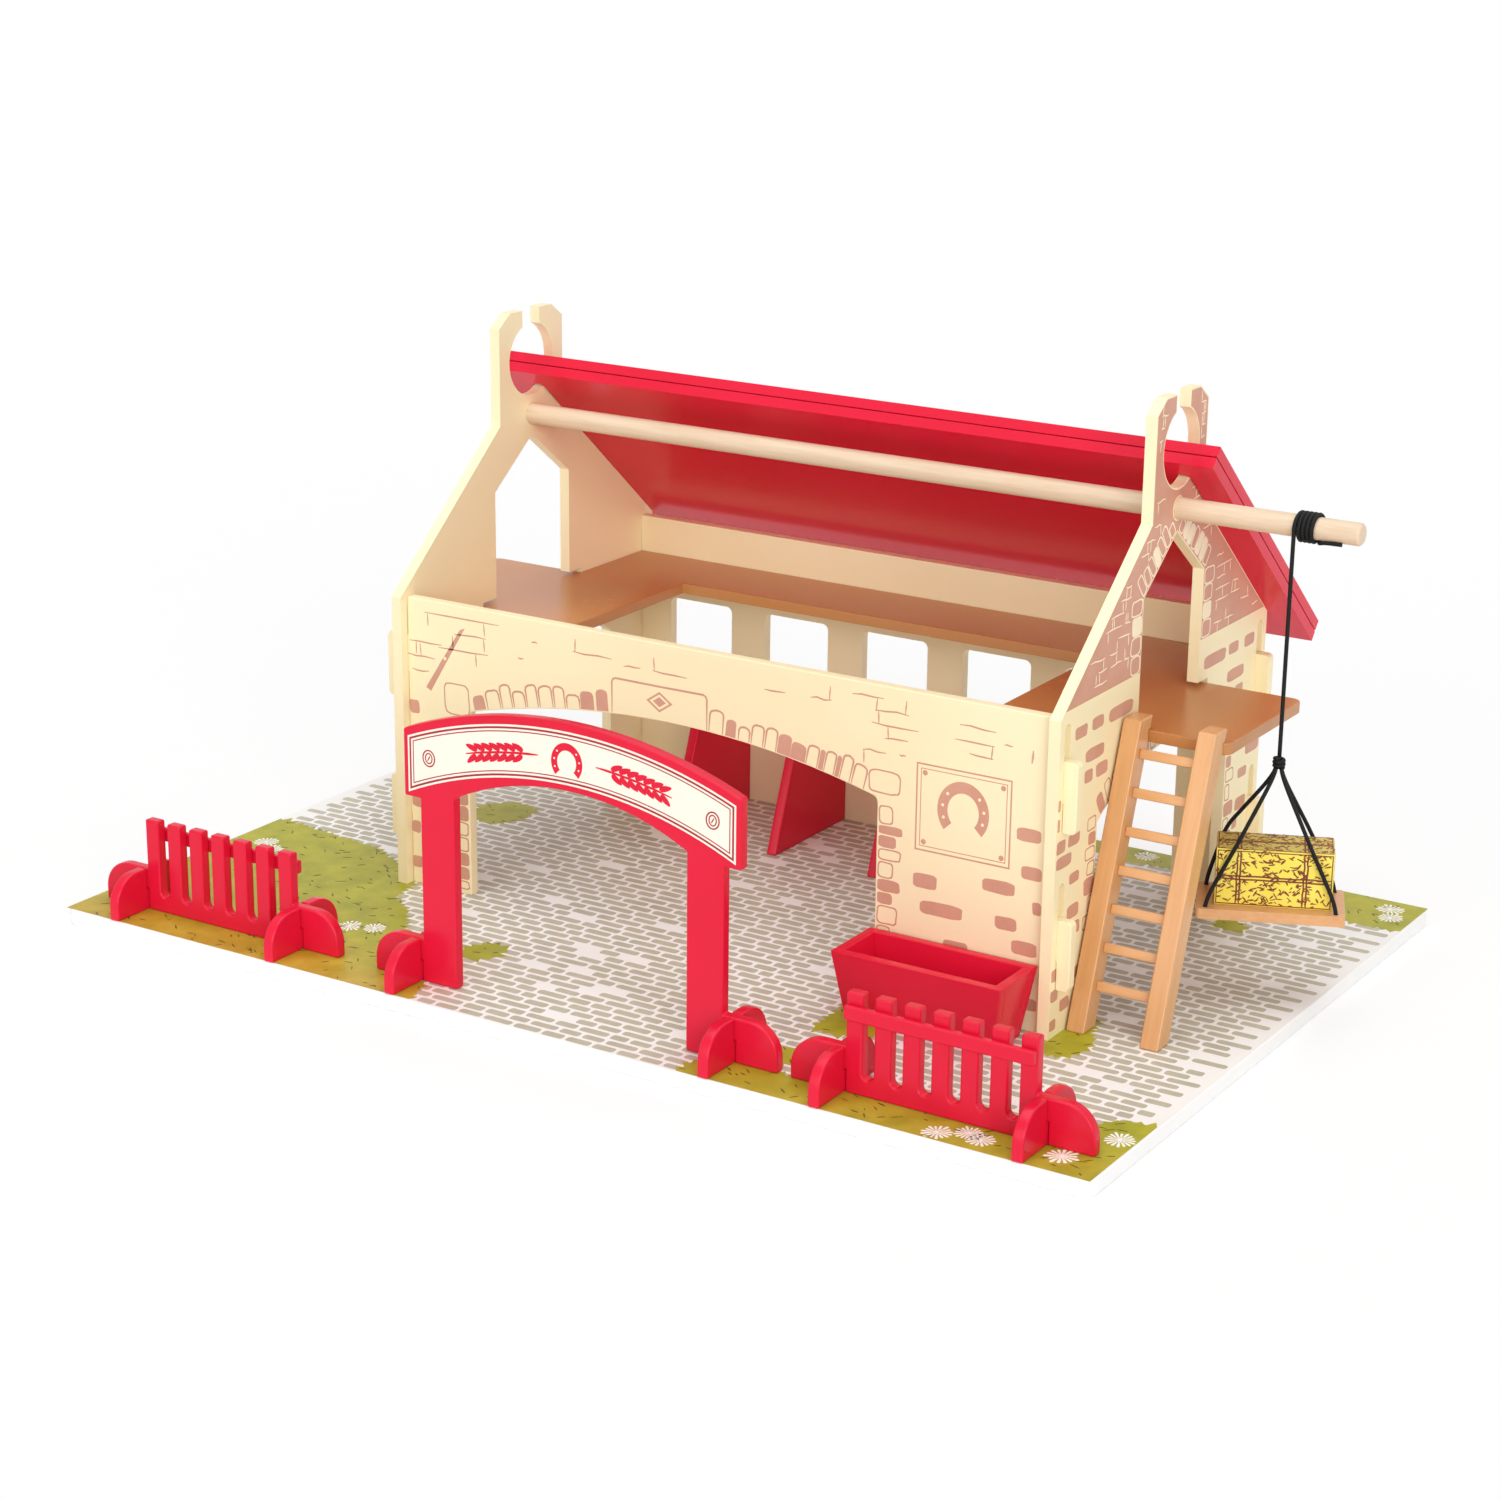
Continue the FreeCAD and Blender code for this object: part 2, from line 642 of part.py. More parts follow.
def biarc(start, heading, end, last):
    """Join two points with two arcs that keep both headings."""
    chord = end - start
    both = heading + last
    bend = 2 * (1 - heading.dot(last))
    along = chord.dot(both)
    span = chord.dot(chord)
    reach = span / (2 * along) if bend < 1e-9 else (math.sqrt(along * along + bend * span) - along) / bend
    joint = (start + end + (heading - last) * reach) * 0.5
    first, turned = arc_from(start, heading, joint)
    second, turned = arc_from(joint, turned, end)
    return [first, second]


def many_sided(spot, heading, radius, count):
    """Give a many-sided ring about a point, which takes far fewer facets than a round one."""
    across = Rotation(Vector(0, 0, 1), heading)
    waves = [2 * math.pi * side / count for side in range(count)]
    corners = [spot + across.multVec(Vector(math.cos(wave), math.sin(wave), 0)) * radius for wave in waves]
    return Part.makePolygon(corners + corners[:1])


def tube(label, curves, spot, heading):
    """Sweep the cord's section along a chain of curves and print its volume against its length."""
    path = Part.Wire([curve.toShape() for curve in curves])
    ring = many_sided(spot, heading, number("cord_radius"), CORD_SIDES)
    sweep = Part.BRepOffsetAPI.MakePipeShell(path)
    sweep.add(ring)
    sweep.build()
    sweep.makeSolid()
    item = doc.addObject("Part::Feature", label)
    item.Label = label
    item.Shape = sweep.shape()
    ideal = Part.Face(ring).Area * path.Length
    print(f"{label}: length {path.Length:.2f}, volume {item.Shape.Volume:.2f}, section x length {ideal:.2f}")
    return path


def winding_point(turn_angle):
    """Give the point and heading of the winding after a turn, counted up from the front of the beam."""
    radius = number(WINDING_RADIUS)
    rise = number("winding_spacing") * turn_angle / (2 * HALF_TURN)
    wave = math.radians(turn_angle)
    slope = number("winding_spacing") / (2 * math.pi)
    offset = Vector(rise, -radius * math.cos(wave), radius * math.sin(wave))
    heading = Vector(slope, radius * math.sin(wave), radius * math.cos(wave))
    return beam_middle + offset, heading.normalize()


beam_middle = Vector(number(HOIST_X), number(f"{HOIST_Y} + {WINDING_RADIUS}"), number(f"base_thickness + {BEAM}"))
upward = Vector(0, 0, 1)
stations = [winding_point(QUARTER_TURN * step) for step in range(4 * WINDING_TURNS + 4)]
stations[0] = (stations[0][0], upward)
lead = stations[0][0] - upward * number("winding_lead")
winding_curves = [Part.LineSegment(lead, stations[0][0])]
for (start, heading), (end, last) in zip(stations, stations[1:]):
    winding_curves += biarc(start, heading, end, last)
tail_start, tail_heading = stations[-1]
rightward = Vector(1, 0, 0)
tail_bend = tail_start + Vector(number("tail_sweep"), -number("tail_sweep"), number("tail_rise"))
winding_curves += biarc(tail_start, tail_heading, tail_bend, rightward)
winding_curves.append(Part.LineSegment(tail_bend, tail_bend + rightward * number("tail_length")))
winding_path = tube("hoist_winding", winding_curves, lead, upward)

samples = winding_path.discretize(Distance=number("cord_radius")/2)
least = math.inf
apart = math.pi * number(WINDING_RADIUS)
step = winding_path.Length / (len(samples) - 1)
for one, point in enumerate(samples):
    for other in samples[one + int(apart / step):]:
        least = min(least, (point - other).Length)
print(f"hoist_winding: least gap to itself {least - 2*number('cord_radius'):.2f}")

DROP_TOP = f"(base_thickness + {BEAM} - winding_lead)"
KNOT_TOP = "(base_thickness + knot_middle_height + knot_height/2)"
drop = doc.addObject("Part::Cylinder", "hoist_drop")
drop.Label = "hoist_drop"
drop.setExpression("Radius", bound("cord_radius"))
drop.setExpression("Height", bound(f"{DROP_TOP} - {KNOT_TOP}"))
place(drop, (HOIST_X, HOIST_Y, KNOT_TOP))

# The knot: a drum that narrows to flat ends.
knot = doc.addObject("PartDesign::Body", "hoist_knot")
knot.Label = "hoist_knot"
knot_sketch = new_sketch(knot, "XZ_Plane", "hoist_knot_outline")
draw_chain(knot_sketch, [
    ("0", "-knot_height/2"),
    ("knot_end_radius", "-knot_height/2"),
    ("knot_belly_radius", "-knot_belly_height/2"),
    ("knot_belly_radius", "knot_belly_height/2"),
    ("knot_end_radius", "knot_height/2"),
    ("0", "knot_height/2"),
])
knot_turn = knot.newObject("PartDesign::Revolution", "hoist_knot_turn")
knot_turn.Profile = knot_sketch
knot_turn.ReferenceAxis = (knot_sketch, ["V_Axis"])
knot_turn.Angle = 2 * HALF_TURN
place(knot, (HOIST_X, HOIST_Y, "base_thickness + knot_middle_height"))

# The platform hangs turned a little, with the bale on it.
PLATFORM = [
    ("-platform_length/2", "-platform_depth/2"),
    ("platform_length/2", "-platform_depth/2"),
    ("platform_length/2", "platform_depth/2"),
    ("-platform_length/2", "platform_depth/2"),
]
SIDES = [(-1, -1), (1, -1), (1, 1), (-1, 1)]
cord_holes = [((f"{a}*cord_hole_length_offset", f"{b}*cord_hole_depth_offset"), "cord_hole_radius")
              for a, b in SIDES]
platform = board("hoist_platform", "XY_Plane", "platform_thickness", [PLATFORM],
                 (HOIST_X, HOIST_Y, f"{PLATFORM_TOP} - platform_thickness"), cord_holes,
                 axis=Vector(0, 0, 1), angle="platform_turn_angle")
round_corners(platform, "XY_Plane", PLATFORM, "platform_corner_radius")
recesses = [(spot, "end_knot_radius + knot_recess_gap") for spot, radius in cord_holes]
sink_rounds(platform, "XY_Plane", recesses, "knot_recess_depth")
BALE = [
    ("bale_length_shift - bale_length/2", "bale_depth_shift - bale_depth/2"),
    ("bale_length_shift + bale_length/2", "bale_depth_shift - bale_depth/2"),
    ("bale_length_shift + bale_length/2", "bale_depth_shift + bale_depth/2"),
    ("bale_length_shift - bale_length/2", "bale_depth_shift + bale_depth/2"),
]
board("hay_bale", "XY_Plane", "bale_height", [BALE], (HOIST_X, HOIST_Y, PLATFORM_TOP),
      axis=Vector(0, 0, 1), angle="platform_turn_angle")


def rounded_run(points, radii):
    """Join points with straight runs and round each inner corner."""
    curves = []
    here = points[0]
    for before, corner, after, radius in zip(points, points[1:], points[2:], radii):
        back = (before - corner).normalize()
        ahead = (after - corner).normalize()
        half = math.acos(max(-1.0, min(1.0, back.dot(ahead)))) / 2
        entry = corner + back * (radius / math.tan(half))
        leave = corner + ahead * (radius / math.tan(half))
        inward = (back + ahead).normalize()
        through = corner + inward * (radius / math.sin(half) - radius)
        curves.append(Part.LineSegment(here, entry))
        curves.append(Part.Arc(entry, through, leave))
        here = leave
    curves.append(Part.LineSegment(here, points[-1]))
    return curves


# The four legs of the cord go over the long edges of the bale to the holes of the platform.
turn = Placement(Vector(number(HOIST_X), number(HOIST_Y), number(PLATFORM_TOP)),
                 Rotation(upward, number("platform_turn_angle")))
leg_top = number("knot_middle_height - knot_height/2 - platform_top_height")
radii = [number(name) for name in ("leg_start_bend_radius", "leg_edge_bend_radius", "leg_foot_bend_radius")]
for index, (a, b) in enumerate(SIDES, start=1):
    start_x = a * number("leg_start_length_offset")
    start_y = b * number("leg_start_depth_offset")
    low_top = leg_top - number("leg_start_run")
    edge_y = number(f"bale_depth_shift + {b}*(bale_depth/2 + leg_edge_gap)")
    edge_z = number("bale_height + leg_edge_gap")
    foot_x = a * number("cord_hole_length_offset")
    foot_y = b * number("cord_hole_depth_offset")
    foot_z = number("leg_foot_run")
    upper = math.hypot(edge_y - start_y, low_top - edge_z)
    lower = math.hypot(foot_y - edge_y, edge_z - foot_z)
    edge_x = start_x + (foot_x - start_x) * upper / (upper + lower)
    corners = [
        Vector(start_x, start_y, leg_top),
        Vector(start_x, start_y, low_top),
        Vector(edge_x, edge_y, edge_z),
        Vector(foot_x, foot_y, foot_z),
        Vector(foot_x, foot_y, number("knot_recess_depth - platform_thickness")),
    ]
    points = [turn.multVec(corner) for corner in corners]
    tube(f"hoist_leg_{index}", rounded_run(points, radii), points[0], -upward)

# A knot in a recess under each hole holds the leg's end.
end_knots = []
for a, b in SIDES:
    drum = Part.Face(many_sided(Vector(), upward, number("end_knot_radius"), KNOT_SIDES))
    drum = drum.extrude(upward * number("end_knot_height"))
    rims = [edge for edge in drum.Edges if abs(edge.tangentAt(edge.FirstParameter).z) < 1e-6]
    drum = drum.makeChamfer(number("end_knot_chamfer"), rims)
    low = number("knot_recess_depth - platform_thickness - end_knot_height")
    drum.translate(Vector(a * number("cord_hole_length_offset"), b * number("cord_hole_depth_offset"), low))
    end_knots.append(drum)
knots = doc.addObject("Part::Feature", "hoist_end_knots")
knots.Label = "hoist_end_knots"
knots.Shape = Part.makeCompound(end_knots)
knots.Placement = turn

# The ladder leans on the right landing, its rails notched over the landing's edge.
LEAN = "tan(ladder_lean_angle)"
NOTCH = f"{LANDING_FRONT} - board_fit"
FOOT_REAR = "ladder_foot_front + ladder_rail_depth"
RAIL = [
    ("ladder_foot_front", "0"),
    (FOOT_REAR, "0"),
    (NOTCH, f"({NOTCH} - ({FOOT_REAR}))/{LEAN}"),
    (NOTCH, "loft_height"),
    (f"{FOOT_REAR} + loft_height*{LEAN}", "loft_height"),
    (f"{FOOT_REAR} + ladder_top_height*{LEAN}", "ladder_top_height"),
    (f"ladder_foot_front + ladder_top_height*{LEAN}", "ladder_top_height"),
]
LADDER_LEFT = f"{HALF} + ladder_gap"
LADDER_RIGHT = f"{LADDER_LEFT} + ladder_width - ladder_rail_width"
board("ladder_rail_left", "YZ_Plane", "ladder_rail_width", [RAIL], shifted(HOUSE, (LADDER_LEFT, "0", "0")))
board("ladder_rail_right", "YZ_Plane", "ladder_rail_width", [RAIL], shifted(HOUSE, (LADDER_RIGHT, "0", "0")))
RUNG_LENGTH = "ladder_width - 2*ladder_rail_width"
rungs = []
for index in range(RUNG_COUNT):
    height = f"(first_rung_height + {index}*rung_spacing)"
    rung = doc.addObject("Part::Box", f"rung_{index + 1}")
    rung.setExpression("Length", bound(RUNG_LENGTH))
    rung.setExpression("Width", bound("rung_depth"))
    rung.setExpression("Height", bound("rung_thickness"))
    rail_middle = f"ladder_foot_front + (ladder_rail_depth - rung_depth)/2 + {height}*{LEAN}"
    place(rung, shifted(HOUSE, (f"{LADDER_LEFT} + ladder_rail_width", rail_middle, height)),
          Vector(1, 0, 0), "-ladder_lean_angle")
    rungs.append(rung)
rung_set = doc.addObject("Part::Compound", "ladder_rungs")
rung_set.Label = "ladder_rungs"
rung_set.Links = rungs


# The trough: two long boards, two ends and a bottom between them, all leaning out.
def frustum(name, half_length, half_depth, low, high):
    """Make a block that widens upward as the trough does, its halves given at the trough's rim."""
    block = doc.addObject("Part::Wedge", name)
    narrow = f"trough_inset*(trough_height - ({low}))/trough_height"
    wide = f"trough_inset*(trough_height - ({high}))/trough_height"
    for letter, half in (("X", half_length), ("Z", half_depth)):
        block.setExpression(f"{letter}min", bound(f"-({half}) + {narrow}"))
        block.setExpression(f"{letter}max", bound(f"{half} - ({narrow})"))
        block.setExpression(f"{letter}2min", bound(f"-({half}) + {wide}"))
        block.setExpression(f"{letter}2max", bound(f"{half} - ({wide})"))
    block.setExpression("Ymin", bound(low))
    block.setExpression("Ymax", bound(high))
    place(block, shifted(HOUSE, (TROUGH_X, TROUGH_Y, "0")), Vector(1, 0, 0), str(QUARTER_TURN))
    return block


def joined(kind, name, one, two):
    """Cut the second object from the first, or keep what they share."""
    item = doc.addObject(kind, name)
    item.Label = name
    item.Base = one
    item.Tool = two
    return item


def half_space(name, low_x, low_y, length, depth):
    """Make a box that takes in one side of the trough."""
    item = doc.addObject("Part::Box", name)
    item.setExpression("Length", bound(length))
    item.setExpression("Width", bound(depth))
    item.setExpression("Height", bound("trough_height"))
    place(item, shifted(HOUSE, (f"{TROUGH_X} + {low_x}", f"{TROUGH_Y} + {low_y}", "0")))
    return item


for side, low_y in (("front", "-trough_depth"), ("back", "0*trough_depth")):
    whole = frustum(f"trough_whole_{side}", "trough_length/2", "trough_depth/2", "0*trough_height", "trough_height")
    room = frustum(f"trough_room_{side}", "trough_length", "trough_depth/2 - trough_thickness",
                   "0*trough_height", "trough_height")
    region = half_space(f"trough_half_{side}", "-trough_length", low_y, "2*trough_length", "trough_depth")
    shell = joined("Part::Cut", f"trough_long_sides_{side}", whole, room)
    joined("Part::Common", f"trough_{side}", shell, region)
for side, low_x in (("left", "-trough_length"), ("right", "0*trough_length")):
    whole = frustum(f"trough_whole_{side}", "trough_length/2", "trough_depth/2 - trough_thickness",
                    "0*trough_height", "trough_height")
    room = frustum(f"trough_room_{side}", "trough_length/2 - trough_thickness", "trough_depth",
                   "0*trough_height", "trough_height")
    region = half_space(f"trough_half_{side}", low_x, "-trough_depth", "trough_length", "2*trough_depth")
    shell = joined("Part::Cut", f"trough_short_sides_{side}", whole, room)
    joined("Part::Common", f"trough_end_{side}", shell, region)
frustum("trough_bottom", "trough_length/2 - trough_thickness", "trough_depth/2 - trough_thickness",
        "0*trough_height", "trough_thickness")


# The fences and the entrance arch stand on feet that are lapped crosswise into their boards.
def lap_notch(foot_middle):
    """Go round the notch that takes a foot from below, from its outer to its inner side."""
    outer = f"{foot_middle} + panel_thickness/2 + board_fit"
    inner = f"{foot_middle} - panel_thickness/2 - board_fit"
    top = "foot_height*lap_share"
    return [(outer, "0"), (outer, top), (inner, top), (inner, "0")]


def bow_middle(foot_middle):
    """Give the point halfway round a shoulder of a foot or of a wing."""
    reach = "foot_corner_radius*sqrt(0.5)"
    return (f"{foot_middle} + {FOOT_FLAT} + {reach}", f"{FOOT_SHOULDER} + {reach}")


def mirrored_arcs(chain):
    """Continue a half outline with its mirror image, arcs included."""
    back = []
    corners = [entry[:2] for entry in chain]
    arcs = [entry[2:] for entry in chain]
    for index in range(len(chain) - 1, -1, -1):
        arc = arcs[index - 1] if index > 0 else ()
        bow = (f"-({arc[0]})", arc[1]) if arc else ()
        back.append((f"-({corners[index][0]})", corners[index][1]) + bow)
    return chain + back


def foot(label, middle_x):
    """Make a foot plate with two round shoulders, notched from above for the board."""
    outline = mirrored_arcs([(FOOT_HALF, "0"), (FOOT_HALF, FOOT_SHOULDER) + bow_middle("0*foot_height"),
                             (FOOT_FLAT, "foot_height")])
    spot = (f"{middle_x} - panel_thickness/2", f"panel_thickness/2 - {YARD_LINE}", "0")
    body = board(label, "YZ_Plane", "panel_thickness", [outline], shifted(HOUSE, spot))
    half = "panel_thickness/2 + board_fit"
    cut_through(body, "YZ_Plane", [
        (f"-({half})", "foot_height*lap_share"),
        (half, "foot_height*lap_share"),
        (half, "2*foot_height"),
        (f"-({half})", "2*foot_height"),
    ])


def fence(label, middle_x, side):
    """Make a fence with its rail in front (side 1) or behind (side -1)."""
    pickets_half = f"({FENCE_FOOT} - panel_thickness/2)"
    gap = f"((2*{pickets_half} - {PICKET_COUNT}*{PICKET})/{PICKET_COUNT - 1})"
    right = lap_notch(FENCE_FOOT)[::-1]
    right.append((f"{FENCE_FOOT} + {FOOT_HALF}", "0"))
    right.append((f"{FENCE_FOOT} + {FOOT_HALF}", FOOT_SHOULDER) + bow_middle(FENCE_FOOT))
    right.append((f"{FENCE_FOOT} + {FOOT_FLAT}", "foot_height"))
    right.append((pickets_half, "foot_height"))
    right.append((pickets_half, "fence_height"))
    top = []
    for index in range(PICKET_COUNT - 1, 0, -1):
        inner = f"{index}*({PICKET} + {gap}) - {pickets_half}"
        outer = f"{index - 1}*({PICKET} + {gap}) + {PICKET} - {pickets_half}"
        top.append((inner, "fence_height"))
        top.append((inner, f"picket_slot_bottom + {gap}/2", f"{inner} - {gap}/2", "picket_slot_bottom"))
        top.append((outer, f"picket_slot_bottom + {gap}/2"))
        top.append((outer, "fence_height"))
    both = mirrored_arcs(right)
    chain = both[:len(right)] + top + both[len(right):]
    board(f"{label}_panel", "XZ_Plane", "panel_thickness", [chain], shifted(HOUSE, (middle_x, f"-{YARD_LINE}", "0")))
    rail = doc.addObject("Part::Box", f"{label}_rail")
    rail.Label = f"{label}_rail"
    rail_half = f"({pickets_half} - fence_rail_inset)"
    rail.setExpression("Length", bound(f"2*{rail_half}"))
    rail.setExpression("Width", bound("fence_rail_thickness"))
    rail.setExpression("Height", bound("fence_rail_height"))
    rail_y = f"-{YARD_LINE} - fence_rail_thickness" if side > 0 else f"panel_thickness - {YARD_LINE}"
    rail_x = f"{middle_x} - {rail_half}"
    place(rail, shifted(HOUSE, (rail_x, rail_y, "fence_rail_bottom")))
    foot(f"{label}_foot_left", f"{middle_x} - {FENCE_FOOT}")
    foot(f"{label}_foot_right", f"{middle_x} + {FENCE_FOOT}")


fence("fence_left", "base_length*(left_fence_margin_share - 0.5) - house_shift", -1)
fence("fence_right", "base_length*(0.5 - right_fence_margin_share) - house_shift", 1)

entrance_right = [(POST_INNER, "0")] + lap_notch(ENTRANCE_FOOT)[::-1]
entrance_right.append((f"{ENTRANCE_FOOT} + {FOOT_HALF}", "0"))
entrance_right.append((f"{ENTRANCE_FOOT} + {FOOT_HALF}", FOOT_SHOULDER) + bow_middle(ENTRANCE_FOOT))
entrance_right.append((f"{ENTRANCE_FOOT} + {FOOT_FLAT}", "foot_height"))
entrance_right.append((POST_OUTER, "foot_height"))
entrance_right.append((POST_OUTER, "sign_ear_height"))
entrance_right.append((SIGN_HALF, "sign_ear_height"))
entrance_right.append((SIGN_HALF, "sign_end_height"))
entrance = mirrored_arcs(entrance_right)
last = len(entrance_right) - 1
entrance[last] = entrance[last] + ("0*sign_crown_height", "sign_crown_height")
entrance.append((f"-{POST_INNER}", "soffit_spring_height", "0*sign_crown_height", "soffit_crown_height"))
entrance.append((POST_INNER, "soffit_spring_height"))
board("entrance_board", "XZ_Plane", "panel_thickness", [entrance],
      shifted(HOUSE, ("-entrance_shift", f"-{YARD_LINE}", "0")))
foot("entrance_foot_left", f"-entrance_shift - {ENTRANCE_FOOT}")
foot("entrance_foot_right", f"{ENTRANCE_FOOT} - entrance_shift")

doc.recompute()

PARTS = [
    "base_board", "gable_left", "gable_right", "front_wall", "rear_wall", "loft_floor",
    "stall_divider_1", "stall_divider_2", "stall_divider_3", "roof_rear", "roof_front",
    "hoist_beam", "hoist_winding", "hoist_drop", "hoist_knot", "hoist_platform", "hay_bale",
    "hoist_leg_1", "hoist_leg_2", "hoist_leg_3", "hoist_leg_4", "hoist_end_knots",
    "ladder_rail_left", "ladder_rail_right", "ladder_rungs",
    "trough_front", "trough_back", "trough_end_left", "trough_end_right", "trough_bottom",
    "fence_left_panel", "fence_left_rail", "fence_left_foot_left", "fence_left_foot_right",
    "fence_right_panel", "fence_right_rail", "fence_right_foot_left", "fence_right_foot_right",
    "entrance_board", "entrance_foot_left", "entrance_foot_right",
]
for item in doc.Objects:
    if "Invalid" in item.State or "Error" in item.State:
        raise RuntimeError(f"{item.Label} did not build: {item.State}")
os.makedirs("parts", exist_ok=True)
for name in PARTS:
    shape = doc.getObjectsByLabel(name)[0].Shape
    if shape.isNull() or not shape.isValid():
        raise RuntimeError(f"{name} has no valid shape")
    shape.exportStep(f"parts/{name}.step")
print(f"{len(PARTS)} parts written")
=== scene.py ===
import math
import random

import bmesh
import bpy
from mathutils import Matrix, Vector
from mathutils.geometry import tessellate_polygon


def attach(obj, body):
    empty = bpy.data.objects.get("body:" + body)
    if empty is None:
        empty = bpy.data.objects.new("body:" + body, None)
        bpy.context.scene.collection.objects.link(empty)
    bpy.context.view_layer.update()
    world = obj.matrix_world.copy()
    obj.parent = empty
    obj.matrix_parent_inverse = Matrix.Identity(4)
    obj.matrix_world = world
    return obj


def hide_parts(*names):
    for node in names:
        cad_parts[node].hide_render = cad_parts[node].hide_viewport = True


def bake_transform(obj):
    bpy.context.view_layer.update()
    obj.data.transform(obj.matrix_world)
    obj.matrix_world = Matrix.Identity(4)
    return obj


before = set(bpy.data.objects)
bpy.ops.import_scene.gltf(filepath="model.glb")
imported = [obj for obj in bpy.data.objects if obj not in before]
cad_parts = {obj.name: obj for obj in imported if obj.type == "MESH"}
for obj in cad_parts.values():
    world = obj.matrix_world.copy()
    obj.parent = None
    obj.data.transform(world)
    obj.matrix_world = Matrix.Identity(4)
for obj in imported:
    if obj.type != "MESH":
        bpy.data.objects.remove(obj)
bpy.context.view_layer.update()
scene = bpy.context.scene
scene.view_settings.view_transform = "Standard"

# Lengths below are millimetres in the part's own frame unless a comment says house coordinates, whose
# origin is the middle of the house at the gables' front edges, on top of the base board.
MM = 0.001
HOUSE = Vector((18.2, -78.3, 9.0))
ROOF_ANGLE = math.radians(40.35)


# Finishes.
class Socket:
    """A node's output. Arithmetic on it adds Math nodes, and node() adds any other kind of node to its tree."""

    def __init__(self, tree, out):
        self.tree = tree
        self.out = out

    def node(self, kind, settings=None, inputs=None, output=0):
        new = self.tree.nodes.new(kind)
        for key, value in (settings or {}).items():
            if key == "stops":
                for element, (place, shade) in zip(new.color_ramp.elements, value):
                    element.position = place
                    element.color = (shade, shade, shade, 1.0)
            else:
                setattr(new, key, value)
        for key, value in (inputs or {}).items():
            if isinstance(value, Socket):
                self.tree.links.new(value.out, new.inputs[key])
            else:
                new.inputs[key].default_value = value
        return Socket(self.tree, new.outputs[output])

    def math(self, operation, *values):
        return self.node("ShaderNodeMath", {"operation": operation}, dict(enumerate(values)))

    def __add__(self, other):
        return self.math("ADD", self, other)

    def __radd__(self, other):
        return self.math("ADD", other, self)

    def __sub__(self, other):
        return self.math("SUBTRACT", self, other)

    def __rsub__(self, other):
        return self.math("SUBTRACT", other, self)

    def __mul__(self, other):
        return self.math("MULTIPLY", self, other)

    def __rmul__(self, other):
        return self.math("MULTIPLY", other, self)

    def stretched(self, factors):
        return self.node("ShaderNodeVectorMath", {"operation": "MULTIPLY"}, {0: self, 1: factors})

    def noise(self, scale, detail=3.0):
        return self.node("ShaderNodeTexNoise", None, {"Vector": self, "Scale": scale, "Detail": detail})

    def ramp(self, low, high):
        return self.node("ShaderNodeValToRGB", {"stops": ((low, 0.0), (high, 1.0))}, {"Fac": self})

    def mixed(self, one, two):
        return self.node("ShaderNodeMix", {"data_type": "RGBA"}, {0: self, 6: one, 7: two}, 2)

    def bump(self, strength, distance):
        inputs = {"Height": self, "Strength": strength, "Distance": distance}
        return self.node("ShaderNodeBump", None, inputs)


def colour(red, green, blue):
    """Turn display values from 0 to 255 into the linear colour that a shader takes."""
    linear = []
    for value in (red, green, blue):
        share = value / 255
        linear.append(share / 12.92 if share <= 0.04045 else ((share + 0.055) / 1.055) ** 2.4)
    return (*linear, 1.0)


def finish(name, **constants):
    """Start a finish: give its material, its shader and the socket of Object coordinates."""
    material = bpy.data.materials.new(name)
    material.use_nodes = True
    tree = material.node_tree
    shader = tree.nodes["Principled BSDF"]
    for key, value in constants.items():
        shader.inputs[key.replace("_", " ").title().replace("Ior", "IOR")].default_value = value
    place = Socket(tree, tree.nodes.new("ShaderNodeTexCoord").outputs["Object"])
    return material, shader, place


def feed(shader, **sockets):
    """Link sockets to the shader's inputs."""
    for key, value in sockets.items():
        value.tree.links.new(value.out, shader.inputs[key.replace("_", " ").title()])


def gloss_paint(name, light, dark):
    """Sprayed gloss paint: faint clouds of colour and a soft orange peel."""
    material, shader, place = finish(name, specular_ior_level=0.22)
    clouds = place.noise(14.0).ramp(0.3, 0.7)
    peel = place.noise(320.0, 1.0)
    feed(shader, base_color=(clouds * 0.8 + peel * 0.2).mixed(dark, light),
         roughness=clouds * 0.02 + 0.21, normal=peel.bump(0.003, 0.0001))
    return material


def satin_paint(name, light, dark, roughness=0.42):
    """Satin paint on board: soft clouds, a little dust and a faint roller texture."""
    material, shader, place = finish(name)
    clouds = place.noise(9.0).ramp(0.25, 0.75)
    specks = place.noise(420.0, 2.0)
    roller = place.noise(700.0, 1.0)
    feed(shader, base_color=(clouds * 0.75 + specks * 0.25).mixed(dark, light),
         roughness=clouds * 0.1 + (roughness - 0.05), normal=roller.bump(0.04, 0.0001))
    return material


def varnished_wood(name, light, dark, along, roughness=0.36, lean=0.0):
    """Varnished wood with its grain along an axis, that may lean in the plane of y and z."""
    material, shader, place = finish(name, coat_weight=0.15, coat_roughness=0.2)
    turned = place.node("ShaderNodeMapping", None, {"Vector": place, "Rotation": (lean, 0.0, 0.0)})

    def drawn_out(share):
        return turned.stretched([share if axis == along else 1.0 for axis in "xyz"])

    run = drawn_out(0.06)
    streaks = run.noise(420.0, 4.0).ramp(0.3, 0.72)
    figure = run.noise(90.0, 2.0)
    fine = drawn_out(0.03).noise(1600.0, 1.0).ramp(0.52, 0.7)
    shade = streaks * 0.4 + figure * 0.45 + (1.0 - fine) * 0.15
    feed(shader, base_color=shade.mixed(dark, light), roughness=fine * 0.14 + (roughness - 0.05),
         normal=(streaks * 0.4 - fine).bump(0.12, 0.0001))
    return material


